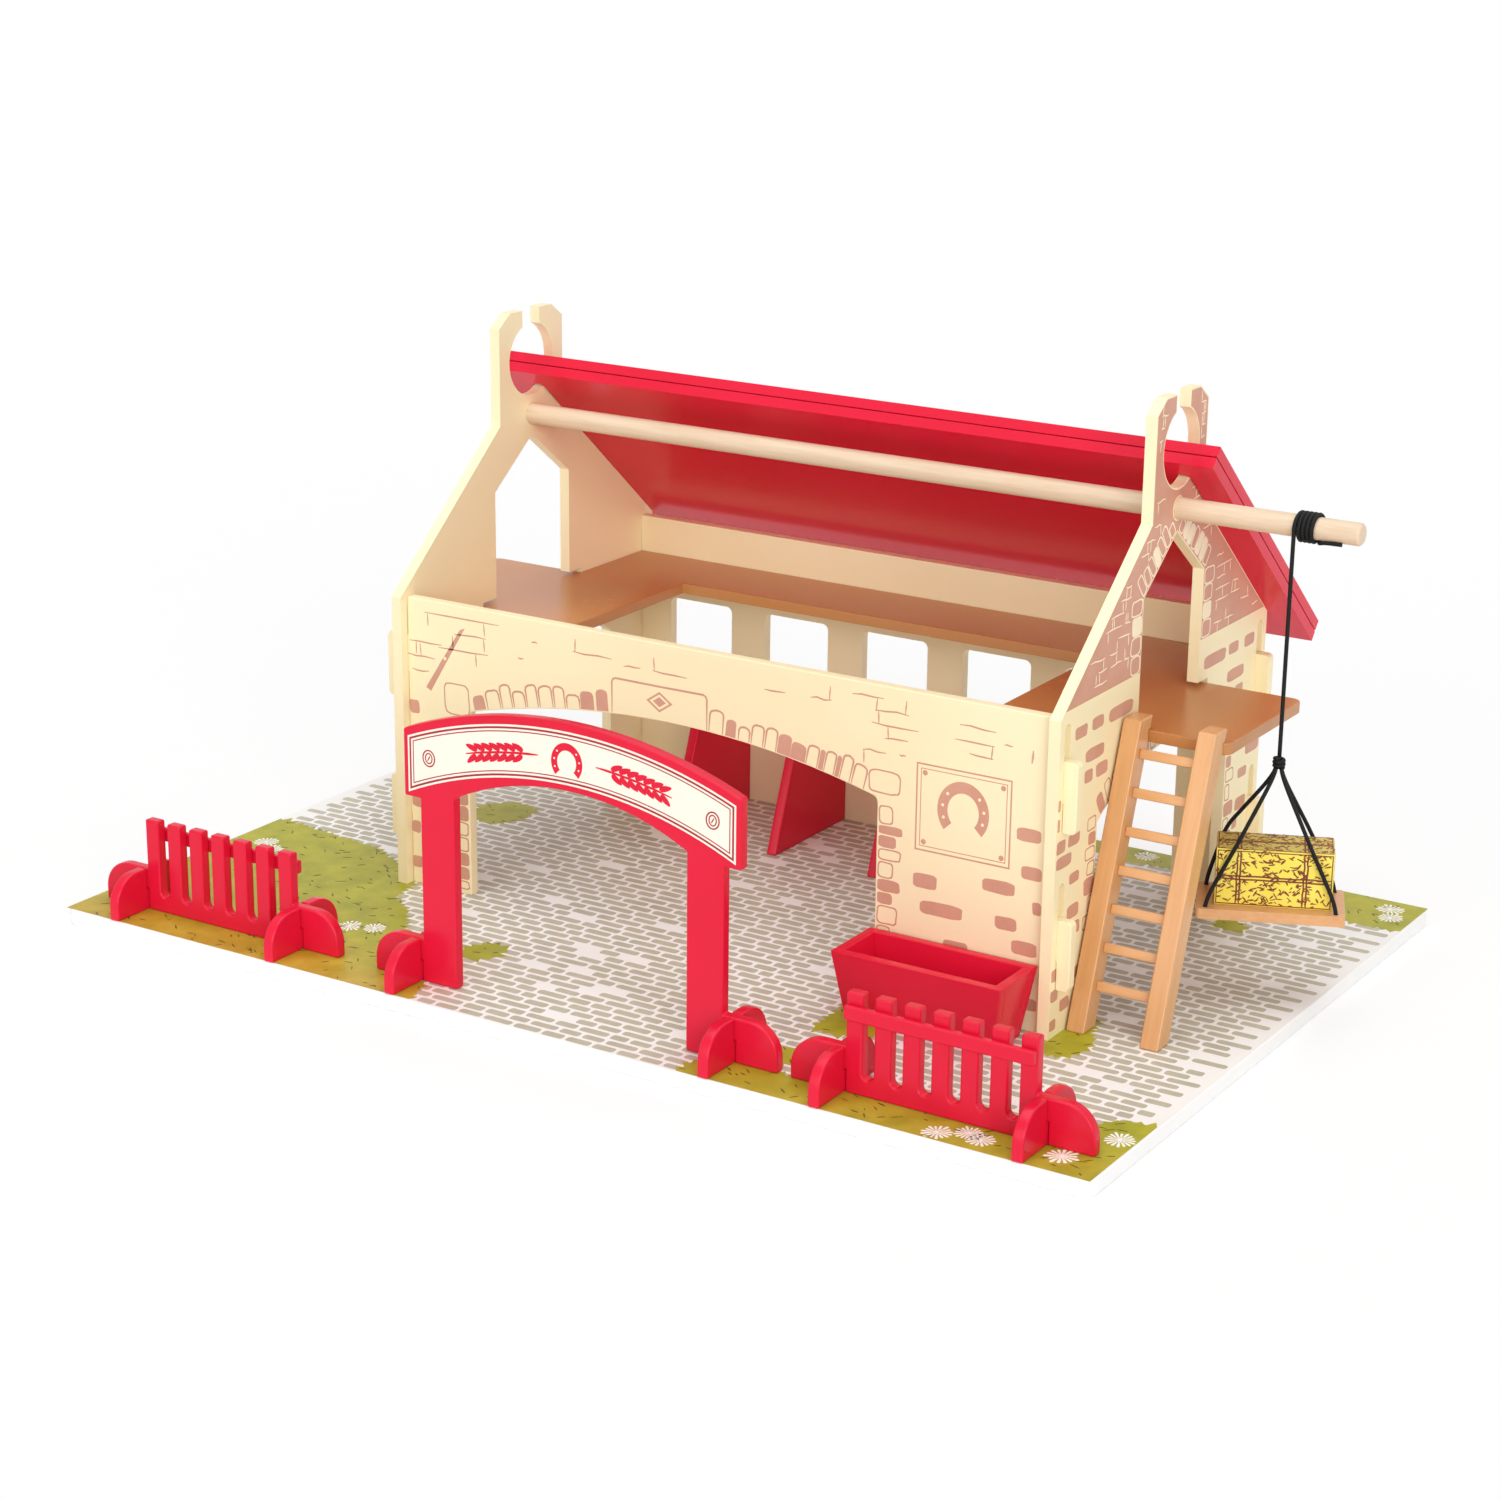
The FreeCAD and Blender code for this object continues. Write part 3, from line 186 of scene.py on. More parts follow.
def ink(name, light, dark):
    """Printing ink that lies a little unevenly."""
    material, shader, place = finish(name)
    clouds = place.noise(60.0)
    grain = place.noise(1100.0, 1.0)
    feed(shader, base_color=(clouds * 0.65 + grain * 0.35).ramp(0.3, 0.7).mixed(dark, light),
         roughness=grain * 0.14 + 0.41, normal=grain.bump(0.08, 0.0001))
    return material


def straw_print(name):
    """The bale's print: bright yellow sides, and painted shade on the top, which takes a darker olive."""
    material, shader, place = finish(name)
    facing = place.node("ShaderNodeNewGeometry", None, None, "Normal")
    # Painted shade: faces that look upwards take a darker olive in place of the yellow print.
    top = facing.node("ShaderNodeSeparateXYZ", None, {0: facing}, 2).ramp(0.6, 0.85)
    clouds = place.noise(60.0).ramp(0.3, 0.7)
    grain = place.noise(1100.0, 1.0)
    sides = clouds.mixed(colour(238, 216, 74), colour(248, 232, 104))
    painted_shade_top = clouds.mixed(colour(208, 188, 78), colour(226, 208, 106))
    feed(shader, base_color=top.mixed(sides, painted_shade_top), roughness=grain * 0.14 + 0.41, normal=grain.bump(0.08, 0.0001))
    return material


def braid(name):
    """A black cord braided from two crossing sets of strands, on the tube's own UV map."""
    material, shader, place = finish(name, specular_ior_level=0.25)
    spread = place.node("ShaderNodeUVMap", {"uv_map": "run"}, None)
    # Four strands round the cord, and one crossing for each diameter along it.
    turn = spread.node("ShaderNodeSeparateXYZ", None, {0: spread}, 0) * 25.133
    run = spread.node("ShaderNodeSeparateXYZ", None, {0: spread}, 1) * 6.2832
    one = turn.math("SINE", turn + run)
    two = turn.math("SINE", turn - run)
    weave = one.math("MAXIMUM", one, two)
    fibre = place.noise(5200.0, 1.0)
    shade = (weave * 0.35 + 0.3 + fibre * 0.4).ramp(0.1, 0.9)
    feed(shader, base_color=shade.mixed(colour(3, 3, 3), colour(26, 25, 26)), roughness=fibre * 0.2 + 0.6,
         normal=(weave * 0.6 + fibre * 0.4).bump(0.5, 0.0002))
    return material


RED = gloss_paint("red_gloss_paint", colour(226, 27, 60), colour(220, 23, 54))
CREAM = satin_paint("cream_satin_paint", colour(254, 241, 200), colour(250, 235, 190))
WHITE = satin_paint("base_white_paint", colour(250, 249, 247), colour(242, 241, 239))
LOFT = satin_paint("loft_tan_paint", colour(200, 138, 82), colour(189, 127, 71), 0.3)
LADDER = varnished_wood("ladder_tan_varnish", colour(226, 172, 116), colour(206, 148, 92), "z", lean=0.3211)
RUNG = varnished_wood("rung_tan_varnish", colour(226, 172, 116), colour(206, 148, 92), "x")
PLATFORM = varnished_wood("platform_tan_varnish", colour(228, 174, 120), colour(206, 148, 96), "x")
BEECH = varnished_wood("bare_beech", colour(238, 217, 190), colour(210, 180, 145), "x", 0.5)
STRAW = straw_print("straw_yellow_print_painted_top_shade")
CORD = braid("black_braid")


# Pieces.
def plain_mesh(item):
    """Turn an object with modifiers into an object with a plain mesh of its own."""
    bpy.context.view_layer.update()
    depsgraph = bpy.context.evaluated_depsgraph_get()
    mesh = bpy.data.meshes.new_from_object(item.evaluated_get(depsgraph), depsgraph=depsgraph)
    item.modifiers.clear()
    old = item.data
    if item.type == "MESH":
        item.data = mesh
        bpy.data.meshes.remove(old)
        return item
    name = item.name
    bpy.data.objects.remove(item)
    return link(name, mesh)


def link(name, mesh):
    """Put a mesh into the scene under a piece's name."""
    mesh.name = name
    item = bpy.data.objects.new(name, mesh)
    scene.collection.objects.link(item)
    return item


def dressed(item, body, material, slot, *nodes):
    """Give a piece its finish and its body, and let it stand for CAD nodes. The slot is not used."""
    item.data.materials.clear()
    item.data.materials.append(material)
    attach(item, body)
    if nodes:
        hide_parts(*nodes)
    return item


SEAM = 0.32
FLAT_ANGLE = math.radians(0.5)
SHARP_ANGLE = math.radians(35)


def eased(node, body, material, slot, width, segments=2, worn=None):
    """Copy a board from the CAD model, ease its edges and let the copy stand for it. The face that looks along
    worn is taken back a little, so that a seam shows where two boards lie on each other."""
    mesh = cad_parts[node].data.copy()
    form = bmesh.new()
    form.from_mesh(mesh)
    bmesh.ops.remove_doubles(form, verts=form.verts, dist=1e-6)
    bmesh.ops.dissolve_limit(form, angle_limit=FLAT_ANGLE, verts=form.verts, edges=form.edges)
    if worn:
        form.normal_update()
        for vertex in {corner for face in form.faces if face.normal.dot(worn) > 0.99 for corner in face.verts}:
            vertex.co -= worn * SEAM * MM
    form.to_mesh(mesh)
    form.free()
    for face in mesh.polygons:
        face.use_smooth = True
    item = link(f"{node}_board", mesh)
    ease = item.modifiers.new("ease", "BEVEL")
    ease.width = width * MM
    ease.segments = segments
    ease.limit_method = "ANGLE"
    ease.angle_limit = SHARP_ANGLE
    even = item.modifiers.new("even", "WEIGHTED_NORMAL")
    even.keep_sharp = True
    return dressed(plain_mesh(item), body, material, slot, node)


eased("base_board", "house", WHITE, "base_print", 1.0)
for board in ("gable_left", "gable_right", "front_wall", "rear_wall"):
    eased(board, "house", CREAM, "cream_board", 0.7)
eased("loft_floor", "house", LOFT, "tan_wood", 0.6)
for number in (1, 2, 3):
    eased(f"stall_divider_{number}", "house", RED, "red_board", 1.0)
off_roof = Vector((0.0, math.sin(ROOF_ANGLE), math.cos(ROOF_ANGLE)))
eased("roof_rear", "roof_rear", RED, "red_board", 0.6, worn=off_roof)
eased("roof_front", "roof_front", RED, "red_board", 0.6, worn=-off_roof)
eased("hoist_beam", "beam", BEECH, "pale_wood", 0.4)
eased("hoist_platform", "platform", PLATFORM, "tan_wood", 0.9)
bale = eased("hay_bale", "platform", STRAW, "straw_print", 0.5)
for side in ("left", "right"):
    eased(f"ladder_rail_{side}", "ladder", LADDER, "tan_wood", 1.0)
eased("ladder_rungs", "ladder", RUNG, "tan_wood", 0.7)
for side in ("front", "back", "end_left", "end_right", "bottom"):
    eased(f"trough_{side}", "trough", RED, "red_board", 0.6)
for fence in ("fence_left", "fence_right"):
    for piece in ("panel", "rail", "foot_left", "foot_right"):
        eased(f"{fence}_{piece}", fence, RED, "red_board", 1.2, 3)
for piece in ("board", "foot_left", "foot_right"):
    eased(f"entrance_{piece}", "entrance", RED, "red_board", 1.2, 3)


# The hoist's cord.
CORD_RADIUS = 1.1
CORD_SIDES = 14
HOIST = Vector((298.2, 41.75, 0.0))
BEAM = Vector((298.2, 48.9, 265.725))
DROP_TOP = 262.925
KNOT_TOP = 143.5
KNOT_LOW = 136.5
PLATFORM_TOP = 64.0


def cord_line(points):
    """Run a smooth spline along control points and read the points that it passes through."""
    curve = bpy.data.curves.new("line", "CURVE")
    curve.dimensions = "3D"
    curve.resolution_u = 8
    spline = curve.splines.new("NURBS")
    spline.points.add(len(points) - 1)
    for control, point in zip(spline.points, points):
        control.co = (*(Vector(point) * MM), 1.0)
    spline.order_u = 3
    spline.use_endpoint_u = True
    item = bpy.data.objects.new("line", curve)
    scene.collection.objects.link(item)
    traced = plain_mesh(item)
    path = [vertex.co.copy() for vertex in traced.data.vertices]
    bpy.data.objects.remove(traced)
    return path


def cord_tube(name, path):
    """Lay a round closed tube along a path, with a UV map that runs round it and counts diameters along it."""
    form = bmesh.new()
    spread = form.loops.layers.uv.new("run")
    tangents = []
    for index in range(len(path)):
        ahead = path[min(index + 1, len(path) - 1)] - path[max(index - 1, 0)]
        tangents.append(ahead.normalized())
    across = tangents[0].orthogonal().normalized()
    rings = []
    runs = []
    run = 0.0
    for index, (point, tangent) in enumerate(zip(path, tangents)):
        across = (across - tangent * across.dot(tangent)).normalized()
        other = tangent.cross(across)
        run += (point - path[index - 1]).length if index else 0.0
        runs.append(run / (2 * CORD_RADIUS * MM))
        ring = []
        for step in range(CORD_SIDES):
            angle = 2 * math.pi * step / CORD_SIDES
            away = across * math.cos(angle) + other * math.sin(angle)
            ring.append(form.verts.new(point + away * CORD_RADIUS * MM))
        rings.append(ring)
    for index in range(len(rings) - 1):
        for step in range(CORD_SIDES):
            after = (step + 1) % CORD_SIDES
            corners = (rings[index][step], rings[index][after], rings[index + 1][after], rings[index + 1][step])
            face = form.faces.new(corners)
            face.smooth = True
            places = ((step, index), (step + 1, index), (step + 1, index + 1), (step, index + 1))
            for corner, (turn, level) in zip(face.loops, places):
                corner[spread].uv = (turn / CORD_SIDES, runs[level])
    form.faces.new(reversed(rings[0]))
    form.faces.new(rings[-1])
    mesh = bpy.data.meshes.new(name)
    form.to_mesh(mesh)
    form.free()
    return link(name, mesh)


def length_of(path):
    """Add up a path's steps."""
    return sum((two - one).length for one, two in zip(path, path[1:]))


# The winding: four turns and three quarters, then the tail along the beam. Twelve points a turn, set
# out a little so that the smooth line keeps the winding's radius.
WINDING_TURNS = 4.75
WINDING_RADIUS = 7.15
WINDING_SPACING = 2.36
TURN_POINTS = 12
set_out = WINDING_RADIUS / math.cos(math.pi / TURN_POINTS)
winding_points = [HOIST + Vector((0, 0, DROP_TOP)), HOIST + Vector((0, -0.1, DROP_TOP + 1.6))]
for step in range(int(WINDING_TURNS * TURN_POINTS) + 1):
    wave = 2 * math.pi * step / TURN_POINTS
    offset = Vector((WINDING_SPACING * step / TURN_POINTS, -set_out * math.cos(wave), set_out * math.sin(wave)))
    winding_points.append(BEAM + offset)
tail = BEAM + Vector((WINDING_SPACING * WINDING_TURNS, 0, -WINDING_RADIUS))
winding_points += [tail + Vector((1.6, -3.6, 0.4)), tail + Vector((5.0, -4.6, 1.5)), tail + Vector((14.0, -4.5, 1.5))]
winding_path = cord_line(winding_points)
winding = dressed(cord_tube("hoist_cord_winding", winding_path), "beam", CORD, "cord", "hoist_winding")
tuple(winding_path[0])


def knot_coil(name, middle, height, radius, turns):
    """Wrap the cord round itself into a barrel knot about an upright axis."""
    low = middle - Vector((0, 0, height / 2 - CORD_RADIUS))
    climb = height - 2 * CORD_RADIUS
    points = [low + Vector((0, 0, 0.2))]
    steps = int(turns * TURN_POINTS)
    for step in range(steps + 1):
        wave = 2 * math.pi * step / TURN_POINTS
        lift = climb * step / steps
        swell = radius * (1 + 0.12 * math.sin(math.pi * step / steps))
        points.append(low + Vector((swell * math.cos(wave), swell * math.sin(wave), lift)))
    points.append(low + Vector((0, 0, climb - 0.2)))
    return cord_tube(name, cord_line(points))


knot_middle = HOIST + Vector((0, 0, (KNOT_TOP + KNOT_LOW) / 2))
knot = knot_coil("hoist_cord_knot", knot_middle, height=7.4, radius=2.25, turns=2.75)
dressed(knot, "platform", CORD, "cord", "hoist_knot")

drop_path = cord_line([HOIST + Vector((0, 0, level)) for level in (DROP_TOP, 222.0, 183.0, KNOT_TOP)])
drop = cord_tube("hoist_cord_drop", drop_path)
drop.data.materials.append(CORD)
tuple(drop_path[0])
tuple(drop_path[-1])
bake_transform(drop)
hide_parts("hoist_drop")
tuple(drop_path[0])

# Four legs from the knot over the long edges of the bale to the holes of the platform, in the platform's
# own frame. Each has its two sides and how far from the middle it crosses the bale's edge.
LEGS = [(-1, -1, 19.6), (1, -1, 19.6), (1, 1, 19.0), (-1, 1, 25.0)]
LEG_BEND = 13.0
platform_turn = Matrix.Translation(HOIST + Vector((0, 0, PLATFORM_TOP))) @ Matrix.Rotation(math.radians(23.6), 4, "Z")
for number, (a, b, crossing) in enumerate(LEGS, start=1):
    head = Vector((a * 1.45, b * 1.25, 0.0))
    hole = Vector((a * 34.0, b * 17.0, 0.0))
    start = head + Vector((0, 0, 69.9))
    edge = Vector((a * crossing, 1.0 + b * 16.4, 33.6))
    foot = hole + Vector((0, 0, 3.5))
    route = [
        head + Vector((0, 0, 73.5)),
        start,
        edge + (start - edge).normalized() * LEG_BEND,
        edge,
        edge + (foot - edge).normalized() * LEG_BEND,
        foot,
        hole - Vector((0, 0, 2.0)),
    ]
    leg_path = cord_line([platform_turn @ point for point in route])
    leg = dressed(cord_tube(f"hoist_cord_leg_{number}", leg_path), "platform", CORD, "cord", f"hoist_leg_{number}")
    under = platform_turn @ (hole - Vector((0, 0, 3.6)))
    end_knot = knot_coil(f"hoist_cord_end_knot_{number}", under, height=4.0, radius=1.3, turns=1.75)
    dressed(end_knot, "platform", CORD, "cord", "hoist_end_knots")
    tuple(leg_path[0])
    length_of(leg_path)


# Prints. Each is a thin film of ink on one face of a board, drawn in the face's own across and up.
FILM = 0.05
PINK = ink("terracotta_ink", colour(216, 162, 138), colour(205, 148, 123))
PALE = ink("mortar_cream_ink", colour(254, 240, 206), colour(249, 232, 194))
GREY = ink("cobble_grey_ink", colour(198, 192, 174), colour(178, 172, 152))
PETAL = ink("daisy_white_ink", colour(255, 255, 250), colour(250, 248, 238))
STEM = ink("grass_dark_ink", colour(96, 90, 24), colour(70, 64, 14))
CENTRE = ink("daisy_line_ink", colour(196, 180, 150), colour(160, 144, 112))
TWINE = ink("twine_brown_ink", colour(140, 64, 30), colour(108, 42, 18))
SIGN = ink("sign_white_ink", colour(250, 239, 224), colour(246, 233, 217))
BORDER = ink("sign_red_ink", colour(176, 26, 44), colour(150, 18, 36))


def grass_ink(name):
    """Grass that goes from green at the back to gold along the front, deeper to the left, with soft patches."""
    material, shader, place = finish(name)
    parts = [place.node("ShaderNodeSeparateXYZ", None, {0: place}, axis) for axis in (0, 1)]
    front = (parts[1] * -18.0 - 2.9 + place.noise(24.0) * 0.9 - 0.45).ramp(0.0, 1.0)
    left = (parts[0] * -4.0 + 0.4).ramp(0.0, 1.0)
    patches = place.noise(70.0).ramp(0.3, 0.7)
    green = patches.mixed(colour(150, 150, 16), colour(178, 173, 38))
    olive = patches.mixed(colour(160, 148, 30), colour(184, 170, 54))
    gold = patches.mixed(colour(172, 140, 32), colour(196, 164, 58))
    grain = place.noise(900.0, 1.0)
    feed(shader, base_color=front.mixed(green, left.mixed(olive, gold)), roughness=grain * 0.14 + 0.42,
         normal=grain.bump(0.08, 0.0001))
    return material


GRASS = grass_ink("grass_olive_ink")


class Film:
    """Flat printed shapes on one face, gathered into one thin closed mesh."""

    def __init__(self, origin, across, up, layer=1):
        side = Vector(across).cross(Vector(up))
        turn = Matrix((across, up, side)).transposed().to_4x4()
        self.place = Matrix.Translation(Vector(origin)) @ turn
        self.top = layer * FILM
        self.form = bmesh.new()

    def add(self, outline, *holes):
        loops = []
        for number, loop in enumerate((outline, *holes)):
            turned = sum(a[0] * b[1] - b[0] * a[1] for a, b in zip(loop, loop[1:] + loop[:1])) > 0
            loops.append(list(loop) if turned == (number == 0) else list(reversed(loop)))
        top = []
        low = []
        for loop in loops:
            rings = []
            for level, store in ((self.top, top), (-FILM, low)):
                ring = [self.form.verts.new(self.place @ Vector((*point, level)) * MM) for point in loop]
                store += ring
                rings.append(ring)
            upper, lower = rings
            for index in range(len(loop)):
                after = (index + 1) % len(loop)
                self.form.faces.new((lower[index], lower[after], upper[after], upper[index]))
        flat = [point for loop in loops for point in loop]
        for a, b, c in tessellate_polygon([[Vector((*point, 0.0)) for point in loop] for loop in loops]):
            (ax, ay), (bx, by), (cx, cy) = flat[a], flat[b], flat[c]
            area = (bx - ax) * (cy - ay) - (cx - ax) * (by - ay)
            if area < 0:
                b, c = c, b
            if area:
                self.form.faces.new((top[a], top[b], top[c]))
                self.form.faces.new((low[a], low[c], low[b]))

    def piece(self, name, body, material, slot):
        mesh = bpy.data.meshes.new(name)
        self.form.to_mesh(mesh)
        self.form.free()
        return dressed(link(name, mesh), body, material, slot)


def inset(outline, distance):
    """Move each side of an outline inwards by a distance."""
    moved = []
    for before, here, after in zip(outline[-1:] + outline[:-1], outline, outline[1:] + outline[:1]):
        first = (Vector(here) - Vector(before)).normalized()
        second = (Vector(after) - Vector(here)).normalized()
        one = Vector((-first.y, first.x))
        both = one + Vector((-second.y, second.x))
        shift = both * (distance / max(both.dot(one), 0.3))
        moved.append((here[0] + shift.x, here[1] + shift.y))
    return moved


def ring_of(middle, radius, count=24, start=0.0, turn=2 * math.pi):
    """Give points on a circle or an arc about a middle."""
    steps = count if turn == 2 * math.pi else count - 1
    waves = [start + turn * step / steps for step in range(count)]
    return [(middle[0] + radius * math.cos(wave), middle[1] + radius * math.sin(wave)) for wave in waves]


def line(points, width):
    """Give the outline of a drawn line that narrows at its ends."""
    left = []
    right = []
    for index, point in enumerate(points):
        before = Vector(points[max(index - 1, 0)])
        after = Vector(points[min(index + 1, len(points) - 1)])
        run = (after - before).normalized()
        half = width / 2 * (0.45 if index in (0, len(points) - 1) else 1.0)
        left.append((point[0] - run.y * half, point[1] + run.x * half))
        right.append((point[0] + run.y * half, point[1] - run.x * half))
    return right + left[::-1]


def stone(film, rng, low, high, outlined=False, turn=0.0):
    """Draw a rounded stone between two corners, filled or as an outline."""
    u, v = (low[0] + high[0]) / 2, (low[1] + high[1]) / 2
    wobble = [rng.uniform(-0.06, 0.06) for _ in range(20)]
    skew = rng.uniform(-0.08, 0.08)
    loops = []
    for edge in ((0.0, 0.8) if outlined else (0.0,)):
        loop = []
        for index, shift in enumerate(wobble):
            wave = 2 * math.pi * (index + 0.5) / len(wobble)
            x, y = math.cos(wave), math.sin(wave)
            x = math.copysign(abs(x) ** 0.42, x) * ((high[0] - low[0]) / 2 * (1 + shift * 0.6) - edge)
            y = math.copysign(abs(y) ** 0.42, y) * ((high[1] - low[1]) / 2 * (1 - shift) - edge)
            x += y * skew
            loop.append((u + x * math.cos(turn) - y * math.sin(turn), v + x * math.sin(turn) + y * math.cos(turn)))
        loops.append(loop)
    film.add(*loops)


def mortar(film, rng, u, v, length, uprights, rise=7.6, width=0.9):
    """Draw a level joint between bricks, with short uprights at shares of its length."""
    points = []
    for share in (0.0, 0.3, 0.65, 1.0):
        points.append((u + length * share, v + rng.uniform(-0.5, 0.5)))
    film.add(line(points, width))
    for share, way in uprights:
        x = u + length * share
        lean = rng.uniform(-0.7, 0.7)
        foot = v + way * width * 0.3
        film.add(line([(x, foot), (x + lean * 0.5, foot + way * rise * 0.5), (x + lean, v + way * rise)], width))


def joints_in(film, rng, v, left, right, chance, rise=7.6, width=0.9, roof=None):
    """Scatter joints along a course of bricks, with uprights that stay below a roof's slope."""
    u = left + rng.uniform(0.3, 4.0)
    while u < right - 4:
        length = min(rng.uniform(8.0, 21.0), right - u - 0.5)
        if rng.random() < chance:
            uprights = []
            for share in (0.12, 0.5, 0.88):
                if rng.random() < 0.42:
                    way = rng.choice((-1, 1))
                    too_high = roof and v + rise > roof(u + length * share)
                    uprights.append((share, -1 if too_high else way))
            mortar(film, rng, u, v, length, uprights[:2], rise, width)
        u += length + rng.uniform(2.5, 6.5)


def jamb(film, rng, near, side, levels, heights, depths, gap, filled, reach=math.inf):
    """Stack stones beside an opening, from near outwards. The levels are the lowest foot, one that every foot stays
    under and the highest top. The depths take turns, and one stone in every so many is filled."""
    v, last, top = levels
    turn, cycle = filled
    number = 0
    while v < last:
        height = min(rng.uniform(*heights), top - v)
        far = near + side * rng.uniform(*depths[number % len(depths)])
        if abs(far) < reach:
            stone(film, rng, (min(near, far), v), (max(near, far), v + height - gap), number % cycle != turn)
        number += 1
        v += height


# Gables, in house coordinates seen from outside.
SLOPE = math.tan(ROOF_ANGLE)
HOUSE_HALF = 212.0
EAVE = 172.3
GABLE_MIDDLE = 127.2
DOOR_HALF = 36.9
DOOR_SHOULDER = 215.8
DOOR_PEAK = 243.9
HORN_HALF = 31.1
KINK = 253.9
HORN_SHOULDER = 310.7
HORN_TOP = 318.4
RIDGE = 289.025
KEYHOLE = 21.5
SLIT_HALF = 8.3
BEAM_HOLE = 6.9
BEAM_LEVEL = 256.725
FIELD_LOW = 175.3
BRICK_LOW = 181.5
BRICK_PITCH = 6.4
BRICK_RISE = 5.8
BRICK_COURSES = 21
HEAD_LOW = 227
HEAD_TOP = 262
HEAD_STONES = 7
HEAD_PITCH = math.hypot(DOOR_HALF, DOOR_PEAK - DOOR_SHOULDER) / 6.9
DOORWAY_HALF = 80.5
DOORWAY_SPRING = 106
DOORWAY_RISE = 23
DOORWAY_STONES = 19
SLOT_HALF = 51
SLOT_LOW = 142.0


def opposite(u):
    """Give the place on the other side of a gable's middle."""
    return 2 * GABLE_MIDDLE - u


def under_roof(u):
    """Give the height that a gable's print may reach: the slopes, and the tops of the horns."""
    away = abs(u - GABLE_MIDDLE)
    return 316.0 if away < HORN_HALF - 1.2 else EAVE + SLOPE * (GABLE_MIDDLE - away) - 1.2


def brick_reach(v):
    """Give how far from a gable's middle a course of bricks ends: at the stones of the loft door's jambs, along those
    of its pointed head, or round the keyhole."""
    if v < HEAD_LOW:
        return DOOR_HALF + 14.5
    if v < HEAD_TOP:
        return max(44.0 - (v - HEAD_LOW) * 0.98, 10.5)
    away = max(abs(v - RIDGE) - BRICK_RISE, 0.0)
    return math.sqrt(max((KEYHOLE + 1.5) ** 2 - away ** 2, 12.5 ** 2))


